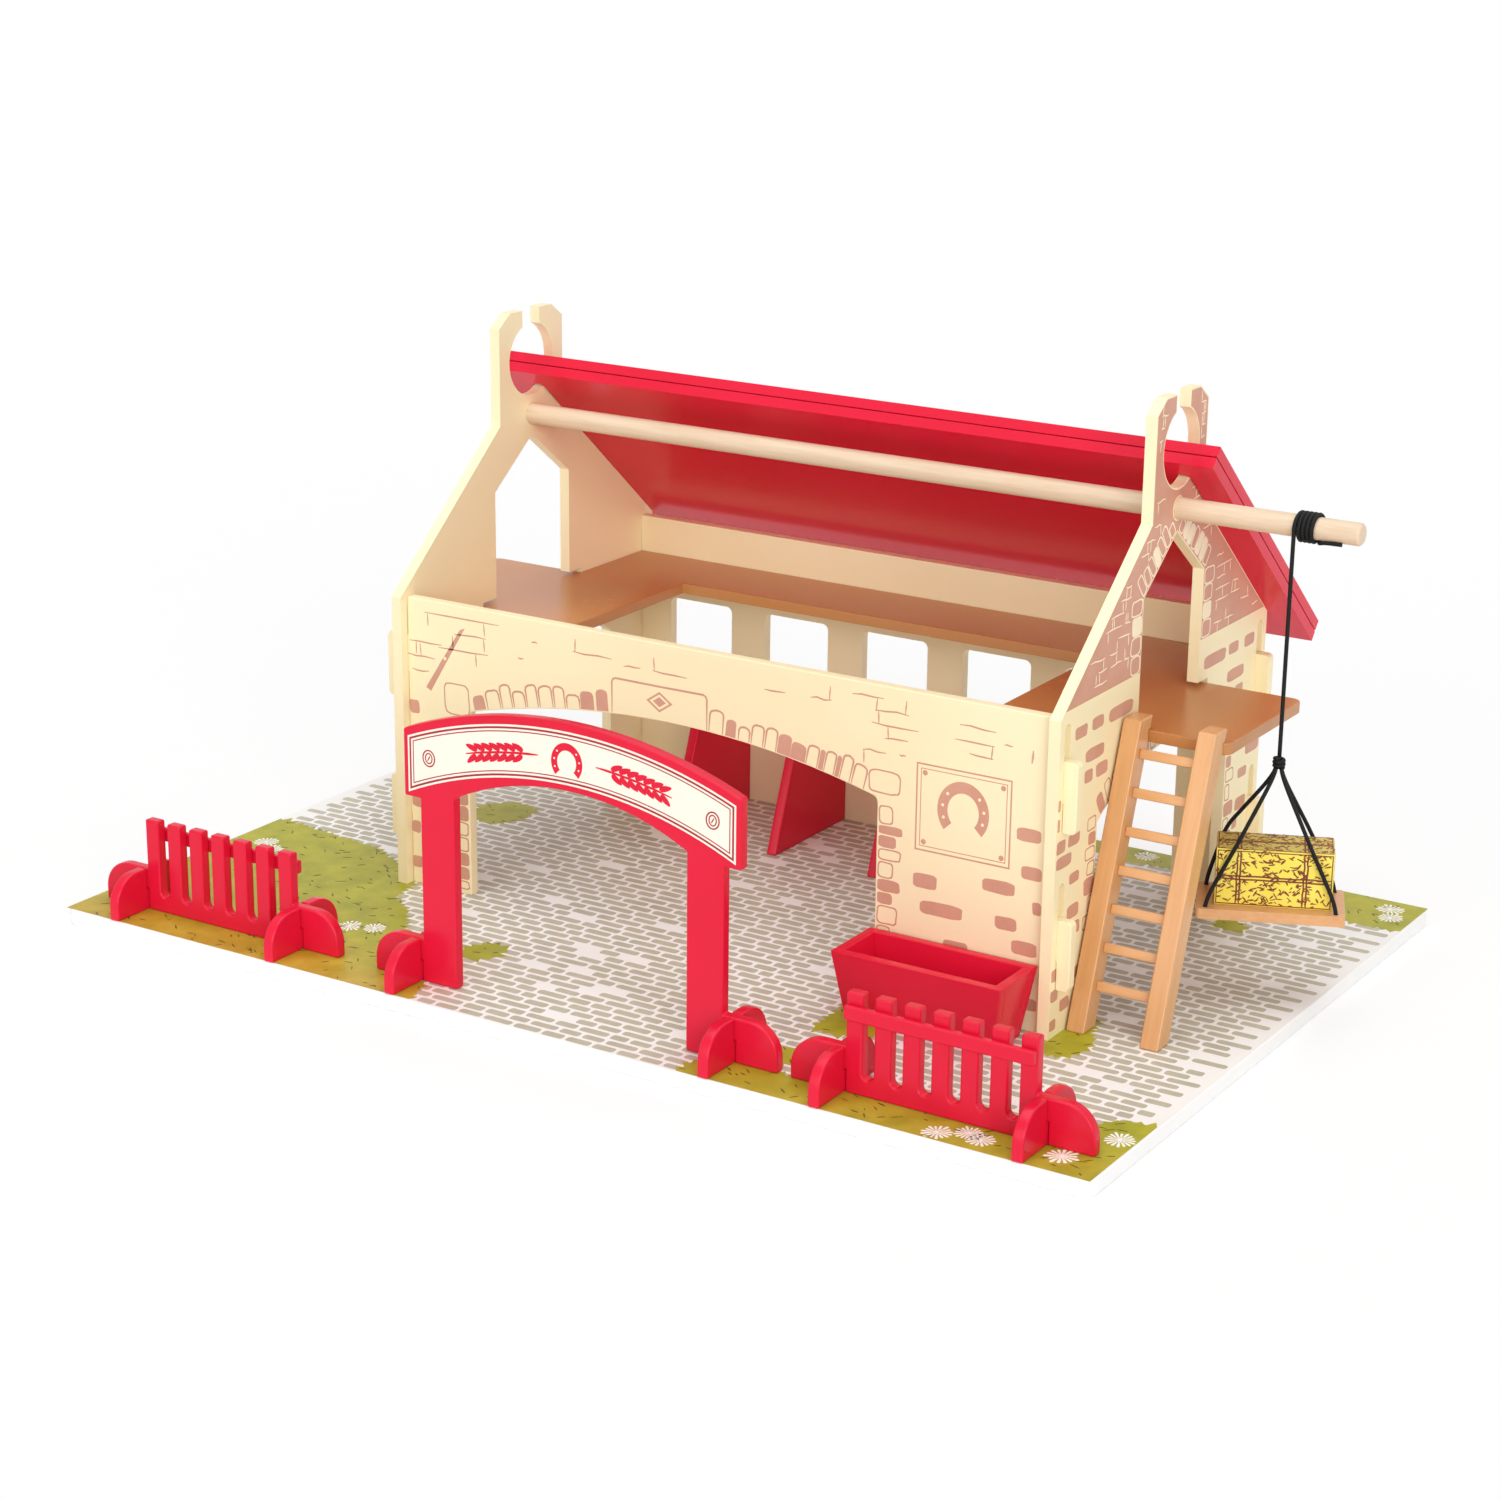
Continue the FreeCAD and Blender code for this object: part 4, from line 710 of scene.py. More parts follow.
def gable_prints(name, origin, across, seed):
    """Print a gable: bricks over the loft, dressed stones round the openings and loose stones below."""
    rng = random.Random(seed)
    pink = Film(origin, across, (0, 0, 1))
    pale = Film(origin, across, (0, 0, 1), 2)
    start = (FIELD_LOW - EAVE) / SLOPE
    right_side = [
        (GABLE_MIDDLE + DOOR_HALF, DOOR_SHOULDER),
        (GABLE_MIDDLE + DOOR_HALF, FIELD_LOW),
        (opposite(start), FIELD_LOW),
        (GABLE_MIDDLE + HORN_HALF, KINK),
        (GABLE_MIDDLE + HORN_HALF, HORN_SHOULDER),
        (GABLE_MIDDLE + HORN_HALF - 10.7, HORN_TOP),
        (GABLE_MIDDLE + SLIT_HALF, HORN_TOP),
    ]
    left_side = [(opposite(u), v) for u, v in reversed(right_side)]
    half = math.acos(SLIT_HALF / KEYHOLE)
    keyhole = ring_of((GABLE_MIDDLE, RIDGE), KEYHOLE, 40, half, -(math.pi + 2 * half))
    field = [(GABLE_MIDDLE, DOOR_PEAK)] + right_side + keyhole + left_side
    pink.add(inset(field, 0.75), ring_of((GABLE_MIDDLE, BEAM_LEVEL), BEAM_HOLE))
    # Brick joints over the loft.
    for course in range(BRICK_COURSES):
        v = BRICK_LOW + course * BRICK_PITCH
        edge = (v - EAVE) / SLOPE + 3.5 if v < KINK else GABLE_MIDDLE - HORN_HALF + 2.5
        near = GABLE_MIDDLE - brick_reach(v)
        for left, right in ((edge, near), (opposite(near), opposite(edge))):
            joints_in(pale, rng, v, left, right, 0.76, BRICK_RISE, 0.78, under_roof)
    # Dressed stones at the jambs of the loft door and along its pointed head.
    for side in (-1, 1):
        levels = (FIELD_LOW + 1.0, DOOR_SHOULDER - 3, DOOR_SHOULDER + 1.5)
        jamb(pale, rng, GABLE_MIDDLE + side * (DOOR_HALF + 1.2), side, levels, (8.2, 11.5), [(10.0, 13.2)], 0.3,
             (1 if side > 0 else 2, 4))
        run = Vector((-side * DOOR_HALF, DOOR_PEAK - DOOR_SHOULDER)).normalized()
        away = Vector((run.y * side, -run.x * side))
        turn = math.atan2(run.y, run.x)
        for number in range(HEAD_STONES):
            middle = Vector((GABLE_MIDDLE + side * DOOR_HALF, DOOR_SHOULDER)) + run * HEAD_PITCH * (number + 0.35)
            depth = rng.uniform(11.5, 14.0) if number < HEAD_STONES - 1 else 8.0
            middle += away * (depth / 2 + 1.2)
            size = Vector((HEAD_PITCH - 0.3, depth)) / 2
            filled = number in ((1, 2, 4, 5) if side > 0 else (3,))
            stone(pale, rng, middle - size, middle + size, not filled, turn)
    # Stones below: dressed ones round the doorway, loose ones between and along the edges.
    loose = [(17, 30.5, 157.5, 164.4), (36, 49, 158, 164.6), (55.5, 83, 157, 164.6), (30, 51, 142, 149),
             (29.5, 39, 131, 138), (42.5, 56, 131, 138.4), (14, 27, 101, 108), (1.2, 3.9, 124, 130),
             (1.2, 3.9, 113, 120), (1.2, 11, 100.5, 107.5), (1.2, 18.5, 92, 98.6), (16, 29, 61, 68.5),
             (15, 24, 118, 124.5), (1.2, 11.5, 31, 38), (15, 26, 39, 45.5), (25, 31, 51, 58), (1.2, 9, 20, 26.5),
             (12, 22.5, 11.5, 18.5), (1.2, 8, 4, 10), (26, 34, 26, 32), (17, 28, 80, 86)]
    for u0, u1, v0, v1 in loose:
        stone(pink, rng, (u0, v0), (u1, v1))
        grow = rng.uniform(-1.5, 1.5)
        shift = rng.uniform(-1.8, 1.8) if u0 > 13 else 0.0
        stone(pink, rng, (opposite(u1) - max(grow, 0) + shift, v0), (opposite(u0) + shift, v1))
    for side in (-1, 1):
        jamb(pink, rng, GABLE_MIDDLE + side * (DOORWAY_HALF + 1.3), side, (2.0, 104, math.inf), (7.5, 11.0),
             [(6.5, 8.5), (9.5, 12.5)], 0.9, (1, 3))
    for number in range(DOORWAY_STONES):
        share = (number + 0.5) / DOORWAY_STONES * 2 - 1
        rise = DOORWAY_SPRING + DOORWAY_RISE * (1 - share * share)
        turn = -math.atan(share * 2 * DOORWAY_RISE / DOORWAY_HALF)
        depth = rng.uniform(11.0, 14.5) * (0.78 if abs(share) < 0.3 else 1.0)
        middle = Vector((GABLE_MIDDLE + share * (DOORWAY_HALF + 1.0), rise + depth / 2 + 1.4))
        size = Vector((3.6, depth / 2))
        if abs(middle.x - GABLE_MIDDLE) >= SLOT_HALF or middle.y + depth / 2 < SLOT_LOW:
            stone(pink, rng, middle - size, middle + size, number % 3 != 0, turn)
    pink.piece(f"{name}_pink_print", "house", PINK, "cream_board")
    pale.piece(f"{name}_joint_print", "house", PALE, "cream_board")


gable_prints("gable_right", HOUSE + Vector((HOUSE_HALF, 0.0, 0.0)), (0, 1, 0), 11)
gable_prints("gable_left", HOUSE + Vector((-HOUSE_HALF, 2 * GABLE_MIDDLE, 0.0)), (0, -1, 0), 23)


# Front wall, in house coordinates.
FRONT_FACE = 5.5
ARCH_MIDDLE = -29.3
ARCH_HALF = 133.7
ARCH_SPRING = 110.5
ARCH_CROWN = 128.3


def arch_height(u):
    """Give the arch's height over a place."""
    share = (u - ARCH_MIDDLE) / ARCH_HALF
    return ARCH_SPRING + (ARCH_CROWN - ARCH_SPRING) * (1 - share * share)


def arch_turn(u):
    """Give the angle at which the arch rises or falls there."""
    return -math.atan(2 * (ARCH_CROWN - ARCH_SPRING) * (u - ARCH_MIDDLE) / ARCH_HALF ** 2)


def arch_stone(film, rng, left, right, tall, filled):
    """Draw a stone that stands on the arch: its sides and round top, and no line at its foot."""
    turn = arch_turn((left + right) / 2)
    up = Vector((-math.sin(turn), math.cos(turn)))
    feet = [Vector((u, arch_height(u) + 0.9)) for u in (left, right)]
    tops = [foot + up * tall * rng.uniform(0.94, 1.04) for foot in feet]
    along = (tops[1] - tops[0]).normalized()
    bend = min(2.4, (right - left) * 0.3)
    path = [feet[0], tops[0] - up * bend, tops[0] + (along - up) * bend * 0.3, tops[0] + along * bend,
            (tops[0] + tops[1]) / 2 + up * rng.uniform(-0.2, 0.4), tops[1] - along * bend,
            tops[1] - (along + up) * bend * 0.3, tops[1] - up * bend, feet[1]]
    path = [(point.x, point.y) for point in path]
    film.add(path if filled else line(path, 1.15))


def horseshoe(film, u, v, size):
    """Draw a horseshoe that opens downwards, with nail holes."""
    outer = ring_of((u, v), size, 30, -0.75, math.pi + 1.5)
    inner = [(u + (x - u) * 0.62, v + (y - v) * 0.62) for x, y in outer]
    outer = [(u + (x - u) * 0.92, y) for x, y in outer]
    inner = [(u + (x - u) * 0.9, y) for x, y in inner]
    holes = []
    for wave in (-0.35, 0.15, 0.7, math.pi - 0.7, math.pi - 0.15, math.pi + 0.35):
        spot = (u + math.cos(wave) * size * 0.74, v + math.sin(wave) * size * 0.81)
        holes.append(ring_of(spot, size * 0.055, 10))
    film.add(outer + inner[::-1], *holes)


def front_prints():
    """Print the front wall: brick joints, a tie bar, stones round the arch and a plaque."""
    rng = random.Random(5)
    pink = Film(HOUSE + Vector((0.0, FRONT_FACE, 0.0)), (1, 0, 0), (0, 0, 1))
    # Brick joints: a cluster at each end, a few strokes between.
    for u, v, length, uprights in [
            (-193, 164.5, 52, ((0.04, -1), (0.8, -1))), (-172, 155.4, 22, ((0.93, -1),)),
            (-204, 147, 23, ((0.2, -1),)), (-183.5, 146, 35, ((0.75, -1), (0.3, 1))), (-206, 138.4, 20, ((0.5, 1),)),
            (-202.5, 129.8, 12, ()), (-90.5, 158, 26, ((0.06, 1),)), (-56.5, 155.6, 11, ()),
            (-37.4, 155.8, 22, ((0.05, 1),)), (-118.5, 159.3, 4, ()), (-128, 148.4, 4, ()), (34, 157.8, 13, ()),
            (62.5, 158.6, 13, ((0.9, 1),)),
            (88, 165, 19, ((0.8, -1),)), (102, 158.6, 20, ((0.1, -1), (0.9, 1))), (100, 150.8, 28, ((0.35, -1),)),
            (108, 144, 14, ()), (95, 135.8, 14, ((0.05, -1),)), (117, 136, 4, ()), (149.5, 151, 23, ((0.95, -1),)),
            (152, 158.8, 21, ()), (158, 144, 14, ()), (178, 152.6, 5, ())]:
        mortar(pink, rng, u, v, length, uprights)
    pink.add(line([(194.6, 152.6), (194.4, 149), (194.0, 145.6)], 1.4))
    # Tie bar with a nail.
    bar = [(-164.6, 159.6), (-168.2, 158.0), (-192.8, 120.6), (-189.4, 118.8)]
    pink.add(bar[::-1], ring_of((-179.1, 139.6), 1.1, 12))
    # Stones of the arch, from its left springing to its right one, with a wide one at the crown.
    for u0, u1, tall, filled in [
            (-158.4, -150.4, 8.4, 1), (-149.0, -140.0, 10.4, 0), (-138.7, -131.8, 12.8, 0), (-130.5, -122.6, 9.2, 0),
            (-121.3, -114.0, 12.8, 0), (-112.7, -103.9, 11.8, 0), (-102.6, -95.6, 11.8, 0), (-94.3, -85.6, 7.6, 0),
            (-84.9, -76.0, 10.6, 1), (-74.4, -66.6, 11.6, 1), (-64.2, -2.2, 20.0, 0), (-0.9, 7.8, 12.4, 0),
            (9.6, 16.0, 9.6, 1), (17.8, 24.6, 7.4, 0), (25.9, 33.2, 11.2, 0), (34.5, 41.4, 12.0, 0),
            (42.1, 50.3, 11.4, 1), (50.4, 59.6, 9.8, 1), (60.3, 67.0, 11.4, 0), (67.7, 70.6, 11.0, 1),
            (71.3, 77.2, 12.0, 0), (77.9, 80.4, 11.8, 1), (81.1, 87.0, 13.6, 0), (88.3, 95.8, 12.0, 0)]:
        arch_stone(pink, rng, u0, u1, tall, filled)
    stone(pink, rng, (-180.0, 107.0), (-162.0, 126.4), True)
    stone(pink, rng, (98.6, 113.2), (118.4, 126.0), True)
    diamond = [(-41.5, 139.0), (-33.0, 133.2), (-24.5, 139.0), (-33.0, 144.8)]
    pink.add(diamond, inset(diamond, 1.1))
    pink.add(inset(diamond, 2.4))
    # Jamb stones and loose stones.
    for side, near, levels in (
            (1, 105.6, (107.0, 96.0, 90.4, 83.2, 76.0, 66.0, 58.6, 51.6, 40.2, 30.4, 21.0, 11.6, 2.0)),
            (-1, -164.2, (105.5, 97.0, 88.4, 80.0, 71.2, 62.0, 53.4, 44.0, 34.6, 25.0, 16.4, 8.2, 2.0))):
        for number, (high, low) in enumerate(zip(levels, levels[1:])):
            far = near + side * (13.6 if number % 2 else 9.6) + rng.uniform(-1.2, 1.2)
            stone(pink, rng, (min(near, far), low + 0.7), (max(near, far), high), number % 4 not in (1, 2))
    for u0, u1, v0, v1 in [
            (186.8, 201, 103.4, 110.6), (190.4, 202.2, 83, 90.2), (168, 187.2, 72, 79.2), (127, 141.4, 66, 74),
            (197.4, 202.4, 64.8, 71.6), (131.8, 157, 52, 59.6), (176, 188.6, 53, 60.2), (186, 201, 41.2, 48.8),
            (-205, -198, 103.6, 111.6), (-205, -198.8, 31, 38.2), (-205, -198, 9.8, 16.8), (-195, -183, 84, 91),
            (-204, -190.5, 66.6, 74), (-190, -179.6, 52.6, 59.6), (-204.5, -193, 47, 54), (-186, -180, 24, 31),
            (146, 160.5, 33.8, 40.6), (168, 181.4, 24, 31), (126.5, 138, 27, 33.6), (190, 202, 11.6, 18.4),
            (150, 166, 8.8, 15.6), (-196, -184.6, 92.4, 98.8)]:
        stone(pink, rng, (u0, v0), (u1, v1))
    # A plaque with a horseshoe.
    plate = [(127.5, 86.5), (183.5, 86.5), (183.5, 134.5), (127.5, 134.5)]
    pink.add(plate, inset(plate, 0.9))
    pink.add(inset(plate, 2.6), inset(plate, 3.1))
    horseshoe(pink, 155.5, 112.0, 16.5)
    for u in (132.6, 178.4):
        for v in (91.6, 129.4):
            pink.add(ring_of((u, v), 1.5, 14))
    pink.piece("front_wall_pink_print", "house", PINK, "cream_board")


front_prints()


# Rear wall, in house coordinates. It is seen from behind, so its prints run the other way.
REAR_FACE = 248.9
LINTEL = 123.8
WINDOW_HALF = 22.6
WINDOW_LOW = 78.0


def rear_prints():
    """Print the rear wall in the same manner: stones round the windows and the door, loose ones between."""
    rng = random.Random(31)
    pink = Film(HOUSE + Vector((0.0, REAR_FACE, 0.0)), (-1, 0, 0), (0, 0, 1))
    windows = (-160.5, -90.9, -21.3, 48.3)
    openings = [(middle - WINDOW_HALF, middle + WINDOW_HALF, WINDOW_LOW) for middle in windows]
    openings.append((93.3, 167.0, 1.2))
    for left, right, low in openings:
        count = int((right - left) / 8.6)
        step = (right - left) / count
        for number in range(count):
            u = -right + number * step
            tall = rng.uniform(10.5, 14.0)
            stone(pink, rng, (u + 0.4, LINTEL), (u + step - 0.4, LINTEL + tall), number % 3 != 1)
        for side in (-1, 1):
            near = -left + 1.2 if side > 0 else -right - 1.2
            jamb(pink, rng, near, side, (low + 0.8, 120, 123.0), (8.0, 11.0), [(9.2, 10.6), (6.4, 8.2)], 0.9,
                 (2, 3), 202)
    for course in range(4):
        joints_in(pink, rng, 141.5 + course * 7.8, -200, 200, 0.4)
    for course in range(6):
        v = 8.0 + course * 11.4
        u = -200.0 + rng.uniform(0, 30)
        while u < 186:
            wide = rng.uniform(11, 21)
            if rng.random() < 0.5 and not -184 < u + wide / 2 < -78:
                stone(pink, rng, (u, v), (u + wide, v + rng.uniform(6.6, 7.8)))
            u += wide + rng.uniform(14, 34)
    pink.piece("rear_wall_pink_print", "house", PINK, "cream_board")


rear_prints()


# Sign of the entrance, over the middle of its board: a pale field between two arcs, a double border and motifs.
SIGN_ORIGIN = HOUSE + Vector((-9.5, -114.0, 0.0))
SIGN_CENTRE = -113.5
SIGN_HALF = 102.4
SIGN_RADII = (242.5, 271.0)


def sign_band(side, low, high):
    """Give the outline of the sign's band between two radii."""
    outline = []
    for radius, way in ((low, 1), (high, -1)):
        for step in range(33):
            u = side * way * (step / 16 - 1)
            outline.append((u, SIGN_CENTRE + math.sqrt(radius ** 2 - u ** 2)))
    return outline


def on_band(u, radius):
    """Give the point that lies a length along the band from its crown."""
    return Vector((radius * math.sin(u / radius), SIGN_CENTRE + radius * math.cos(u / radius)))


def ear(film, u, radius, way):
    """Draw an ear of wheat that lies along the band."""
    for number in range(7):
        middle = on_band(u + way * number * 5.0, radius)
        turn = -(u + way * number * 5.0) / radius
        for side in (-1, 1):
            lean = turn + way * side * 0.5
            centre = middle + Vector((0.0, side * 3.1))
            grain = []
            for point in ring_of((0.0, 0.0), 1.0, 14):
                x, y = point[0] * 3.9, point[1] * (1.6 - 0.45 * way * point[0])
                grain.append((centre.x + x * math.cos(lean) - y * math.sin(lean),
                              centre.y + x * math.sin(lean) + y * math.cos(lean)))
            film.add(grain)
    stalk = [tuple(on_band(u + way * place, radius)) for place in (-13.0, -7.0, 0.0, 12.0, 24.0, 34.0)]
    film.add(line(stalk, 1.3))


def sign_prints():
    """Print the sign's field, its border with a screw at each end, and its motifs."""
    field = Film(SIGN_ORIGIN, (1, 0, 0), (0, 0, 1))
    border = Film(SIGN_ORIGIN, (1, 0, 0), (0, 0, 1), 2)
    motif = Film(SIGN_ORIGIN, (1, 0, 0), (0, 0, 1), 2)
    band = sign_band(SIGN_HALF, *SIGN_RADII)
    field.add(band)
    border.add(inset(band, 1.1), inset(band, 2.2))
    border.add(inset(band, 3.3), inset(band, 3.9))
    for side in (-1, 1):
        spot = on_band(side * 90.5, 256.4)
        for wide, tall, edge in ((4.2, 4.8, 0.8), (2.5, 3.1, 0.7)):
            loops = []
            for less in (0.0, edge):
                loops.append([(spot.x + (wide - less) * math.cos(wave), spot.y + (tall - less) * math.sin(wave))
                              for wave in [2 * math.pi * step / 28 for step in range(28)]])
            border.add(*loops)
        border.add(line([tuple(spot + Vector((-0.9, -1.5))), tuple(spot), tuple(spot + Vector((0.9, 1.5)))], 0.8))
        ear(motif, side * 31.0, 256.0, side)
    crown = on_band(0.0, 255.0)
    horseshoe(motif, crown.x, crown.y - 0.6, 10.6)
    field.piece("sign_field_print", "entrance", SIGN, "red_board")
    border.piece("sign_border_print", "entrance", BORDER, "red_board")
    motif.piece("sign_motif_print", "entrance", RED, "red_board")


sign_prints()


# Base board, in the part's own frame: cobbles, grass and daisies.
TOP = 9.0
EDGE_X = 323.6
EDGE_Y = 216.4


def ragged(corners, rng):
    """Give a grass patch's outline, with blades along every side that isn't on the board's edge."""
    outline = []
    for here, after in zip(corners, corners[1:] + corners[:1]):
        here, after = Vector(here), Vector(after)
        outline.append(tuple(here))
        on_x = abs(here.x) >= EDGE_X - 0.1 and abs(after.x) >= EDGE_X - 0.1 and here.x * after.x > 0
        on_y = abs(here.y) >= EDGE_Y - 0.1 and abs(after.y) >= EDGE_Y - 0.1 and here.y * after.y > 0
        if on_x or on_y:
            continue
        run = after - here
        away = Vector((run.y, -run.x)).normalized()
        count = max(2, int(run.length / 2.6))
        for step in range(1, count):
            root = here + run * (step / count) + away * rng.uniform(-1.0, 0.6)
            if step % 2:
                root = root + away * rng.uniform(1.8, 5.6) + run.normalized() * rng.uniform(-1.2, 1.2)
            outline.append((max(-EDGE_X, min(EDGE_X, root.x)), max(-EDGE_Y, min(EDGE_Y, root.y))))
    return outline


GRASS_PATCHES = [
    [(-EDGE_X, -EDGE_Y), (-78, -EDGE_Y), (-84, -196), (-112, -188), (-130, -160), (-142, -140), (-158, -116),
     (-180, -100), (-186, -72), (-206, -58), (-240, -40), (-283, -36), (-EDGE_X, -30)],
    [(92, -EDGE_Y), (EDGE_X, -EDGE_Y), (EDGE_X, -144), (306, -147), (296, -160), (284, -186), (200, -190),
     (120, -191), (99, -194), (93, -204)],
    [(121, -131), (134, -133), (152, -120), (150, -92), (119, -92)],
    [(230, -94), (246, -92), (252, -80), (250, -66), (241, -52), (240, -40), (230, -38)],
    [(232, 122), (246, 120), (251, 128), (240, 137), (231, 133)],
    [(277, 176), (300, 171), (EDGE_X, 173), (EDGE_X, EDGE_Y), (272, EDGE_Y)],
    [(112, 199), (140, 192), (168, 195), (184, 204), (188, EDGE_Y), (106, EDGE_Y)],
    [(-99, -148), (-86, -153), (-75, -142), (-78, -128), (-92, -127)],
    [(121, -180), (131, -184), (137, -172), (132, -158), (122, -160)],
    [(-EDGE_X, 118), (-300, 124), (-270, 148), (-244, 190), (-236, EDGE_Y), (-EDGE_X, EDGE_Y)],
    [(-60, 199), (-20, 190), (24, 197), (34, EDGE_Y), (-72, EDGE_Y)],
    [(-232, 40), (-214, 34), (-200, 48), (-202, 70), (-222, 76), (-236, 60)],
]
DAISIES = [
    (306, 203, 8.2), (311, 190, 8.0), (315, -167, 8.6), (300, -199, 8.8), (251, -200.5, 8.2), (259.5, -204.5, 8.0),
    (237.5, -208.0, 8.4), (-303, -68, 8.0), (-292, -76, 7.4), (-172, -150, 7.8), (-158.5, -145, 7.4),
    (-290, 176, 8.0), (-278, 188, 7.6), (-306, 204, 7.8), (-10, 205.5, 7.6), (150, 206.5, 7.8)]


def base_prints():
    """Print the grass and the daisies on the base, and give the grass."""
    rng = random.Random(3)
    origin = (0.0, 0.0, TOP)
    grass = Film(origin, (1, 0, 0), (0, 1, 0), 2)
    petals = Film(origin, (1, 0, 0), (0, 1, 0), 3)
    hearts = Film(origin, (1, 0, 0), (0, 1, 0), 4)
    for corners in GRASS_PATCHES:
        grass.add(ragged(corners, rng))
    for u, v, size in DAISIES:
        count = rng.choice((14, 15, 16))
        spin = rng.uniform(0, 1)
        flower = []
        for number in range(count):
            wave = spin + 2 * math.pi * number / count
            reach = size * rng.uniform(0.82, 1.06)
            for share, part in ((-0.4, 0.3), (-0.27, 0.9), (0.0, 1.0), (0.27, 0.9), (0.4, 0.3)):
                turn = wave + share * 2 * math.pi / count
                flower.append((u + reach * part * math.cos(turn), v + reach * part * math.sin(turn)))
        petals.add(flower)
        for number in range(count):
            wave = spin + 2 * math.pi * number / count
            ends = (rng.uniform(0.1, 0.2), rng.uniform(0.34, 0.6))
            near, far = (Vector((math.cos(wave), math.sin(wave))) * size * share for share in ends)
            hearts.add(line([(u + near.x, v + near.y), (u + far.x, v + far.y)], 0.36))
    lawn = grass.piece("base_grass_print", "house", GRASS, "base_print")
    petals.piece("base_daisy_print", "house", PETAL, "base_print")
    hearts.piece("base_daisy_heart_print", "house", CENTRE, "base_print")
    return lawn


class Grower:
    """A Geometry Nodes tree that is built node by node, with its sizes as inputs."""

    def __init__(self, name, sizes):
        self.tree = bpy.data.node_groups.new(name, "GeometryNodeTree")
        face = self.tree.interface
        face.new_socket("Geometry", in_out="INPUT", socket_type="NodeSocketGeometry")
        self.values = {}
        for label, value in sizes.items():
            kind = "NodeSocketInt" if isinstance(value, int) else "NodeSocketFloat"
            socket = face.new_socket(label, in_out="INPUT", socket_type=kind)
            self.values[socket.identifier] = value
        face.new_socket("Geometry", in_out="OUTPUT", socket_type="NodeSocketGeometry")
        inputs = self.tree.nodes.new("NodeGroupInput").outputs
        self.given = {label: Socket(self.tree, inputs[label]) for label in ("Geometry", *sizes)}
        self.result = self.tree.nodes.new("NodeGroupOutput").inputs[0]

    def node(self, *parts):
        return self.given["Geometry"].node(*parts)

    def chance(self, kind, inputs):
        inputs = {**inputs, "Seed": self.given["Seed"]}
        return self.node("FunctionNodeRandomValue", {"data_type": kind}, inputs, "Value")

    def finish(self, geometry, material):
        real = self.node("GeometryNodeRealizeInstances", None, {0: geometry})
        inked = self.node("GeometryNodeSetMaterial", None, {"Geometry": real, "Material": material})
        self.tree.links.new(inked.out, self.result)

    def grow(self, name, mesh, body, material, slot):
        item = link(name, mesh)
        modifier = item.modifiers.new("grow", "NODES")
        modifier.node_group = self.tree
        for identifier, value in self.values.items():
            modifier[identifier] = value
        return dressed(plain_mesh(item), body, material, slot)


def cobble_rows():
    """Lay cobbles in running bond over the board's top: the joints stray, so the lengths differ, and a few are bare."""
    grower = Grower("cobble_rows", {
        "Stone Pitch": 16.2 * MM, "Row Pitch": 7.35 * MM, "Joint": 2.1 * MM, "Stray": 3.4 * MM,
        "Stone Length": 14.0 * MM, "Stone Width": 5.2 * MM, "Corner": 1.7 * MM, "Film": 2 * FILM * MM,
        "Kept": 0.955, "Columns": 39, "Rows": 59, "Seed": 4})
    given = grower.given
    pitch, length = given["Stone Pitch"], given["Stone Length"]
    grid = grower.node("GeometryNodeMeshGrid", None, {
        "Size X": pitch * (given["Columns"] - 1.0), "Size Y": given["Row Pitch"] * (given["Rows"] - 1.0),
        "Vertices X": given["Columns"], "Vertices Y": given["Rows"]})
    index = grower.node("GeometryNodeInputIndex")
    odd = index.math("MODULO", index.math("MODULO", index, given["Rows"]), 2.0)
    strays = []
    for joint in (index, index + given["Rows"]):
        strays.append(grower.chance("FLOAT", {"Min": given["Stray"] * -1.0, "Max": given["Stray"], "ID": joint}))
    slide = (odd - 0.5) * (pitch * 0.5) + (strays[0] + strays[1]) * 0.5
    shift = grower.node("ShaderNodeCombineXYZ", None, {"X": slide})
    laid = grower.node("GeometryNodeSetPosition", None, {"Geometry": grid, "Offset": shift})
    span = pitch + (strays[1] - strays[0])
    share = span.math("DIVIDE", span - given["Joint"], length)
    outline = grower.node("GeometryNodeCurvePrimitiveQuadrilateral", None,
                          {"Width": length, "Height": given["Stone Width"]})
    rounded = grower.node("GeometryNodeFilletCurve", {"mode": "POLY"},
                          {"Curve": outline, "Radius": given["Corner"], "Count": 3})
    sheet = grower.node("GeometryNodeFillCurve", {"mode": "NGONS"}, {"Curve": rounded})
    raised = grower.node("GeometryNodeExtrudeMesh", None,
                         {"Mesh": sheet, "Offset Scale": given["Film"], "Individual": False})
    under = grower.node("GeometryNodeFlipFaces", None, {"Mesh": sheet})
    both = grower.node("GeometryNodeJoinGeometry", None, {0: raised})
    grower.tree.links.new(under.out, both.out.node.inputs[0])
    solid = grower.node("GeometryNodeMergeByDistance", None, {"Geometry": both, "Distance": 1e-6})
    height = grower.chance("FLOAT", {"Min": 0.9, "Max": 1.08})
    stretch = grower.node("ShaderNodeCombineXYZ", None, {"X": share, "Y": height, "Z": 1.0})
    stones = grower.node("GeometryNodeInstanceOnPoints", None, {
        "Points": laid, "Selection": grower.chance("BOOLEAN", {"Probability": given["Kept"]}), "Instance": solid,
        "Rotation": grower.chance("FLOAT_VECTOR", {"Min": (0.0, 0.0, -0.025), "Max": (0.0, 0.0, 0.025)}),
        "Scale": stretch})
    lifted = grower.node("GeometryNodeTransform", None,
                         {"Geometry": stones, "Translation": (0.0, 0.0, (TOP - FILM) * MM)})
    grower.finish(lifted, GREY)
    grower.grow("base_cobble_print", bpy.data.meshes.new("cobbles"), "house", GREY, "base_print")


SLIVER_POINTS = 10


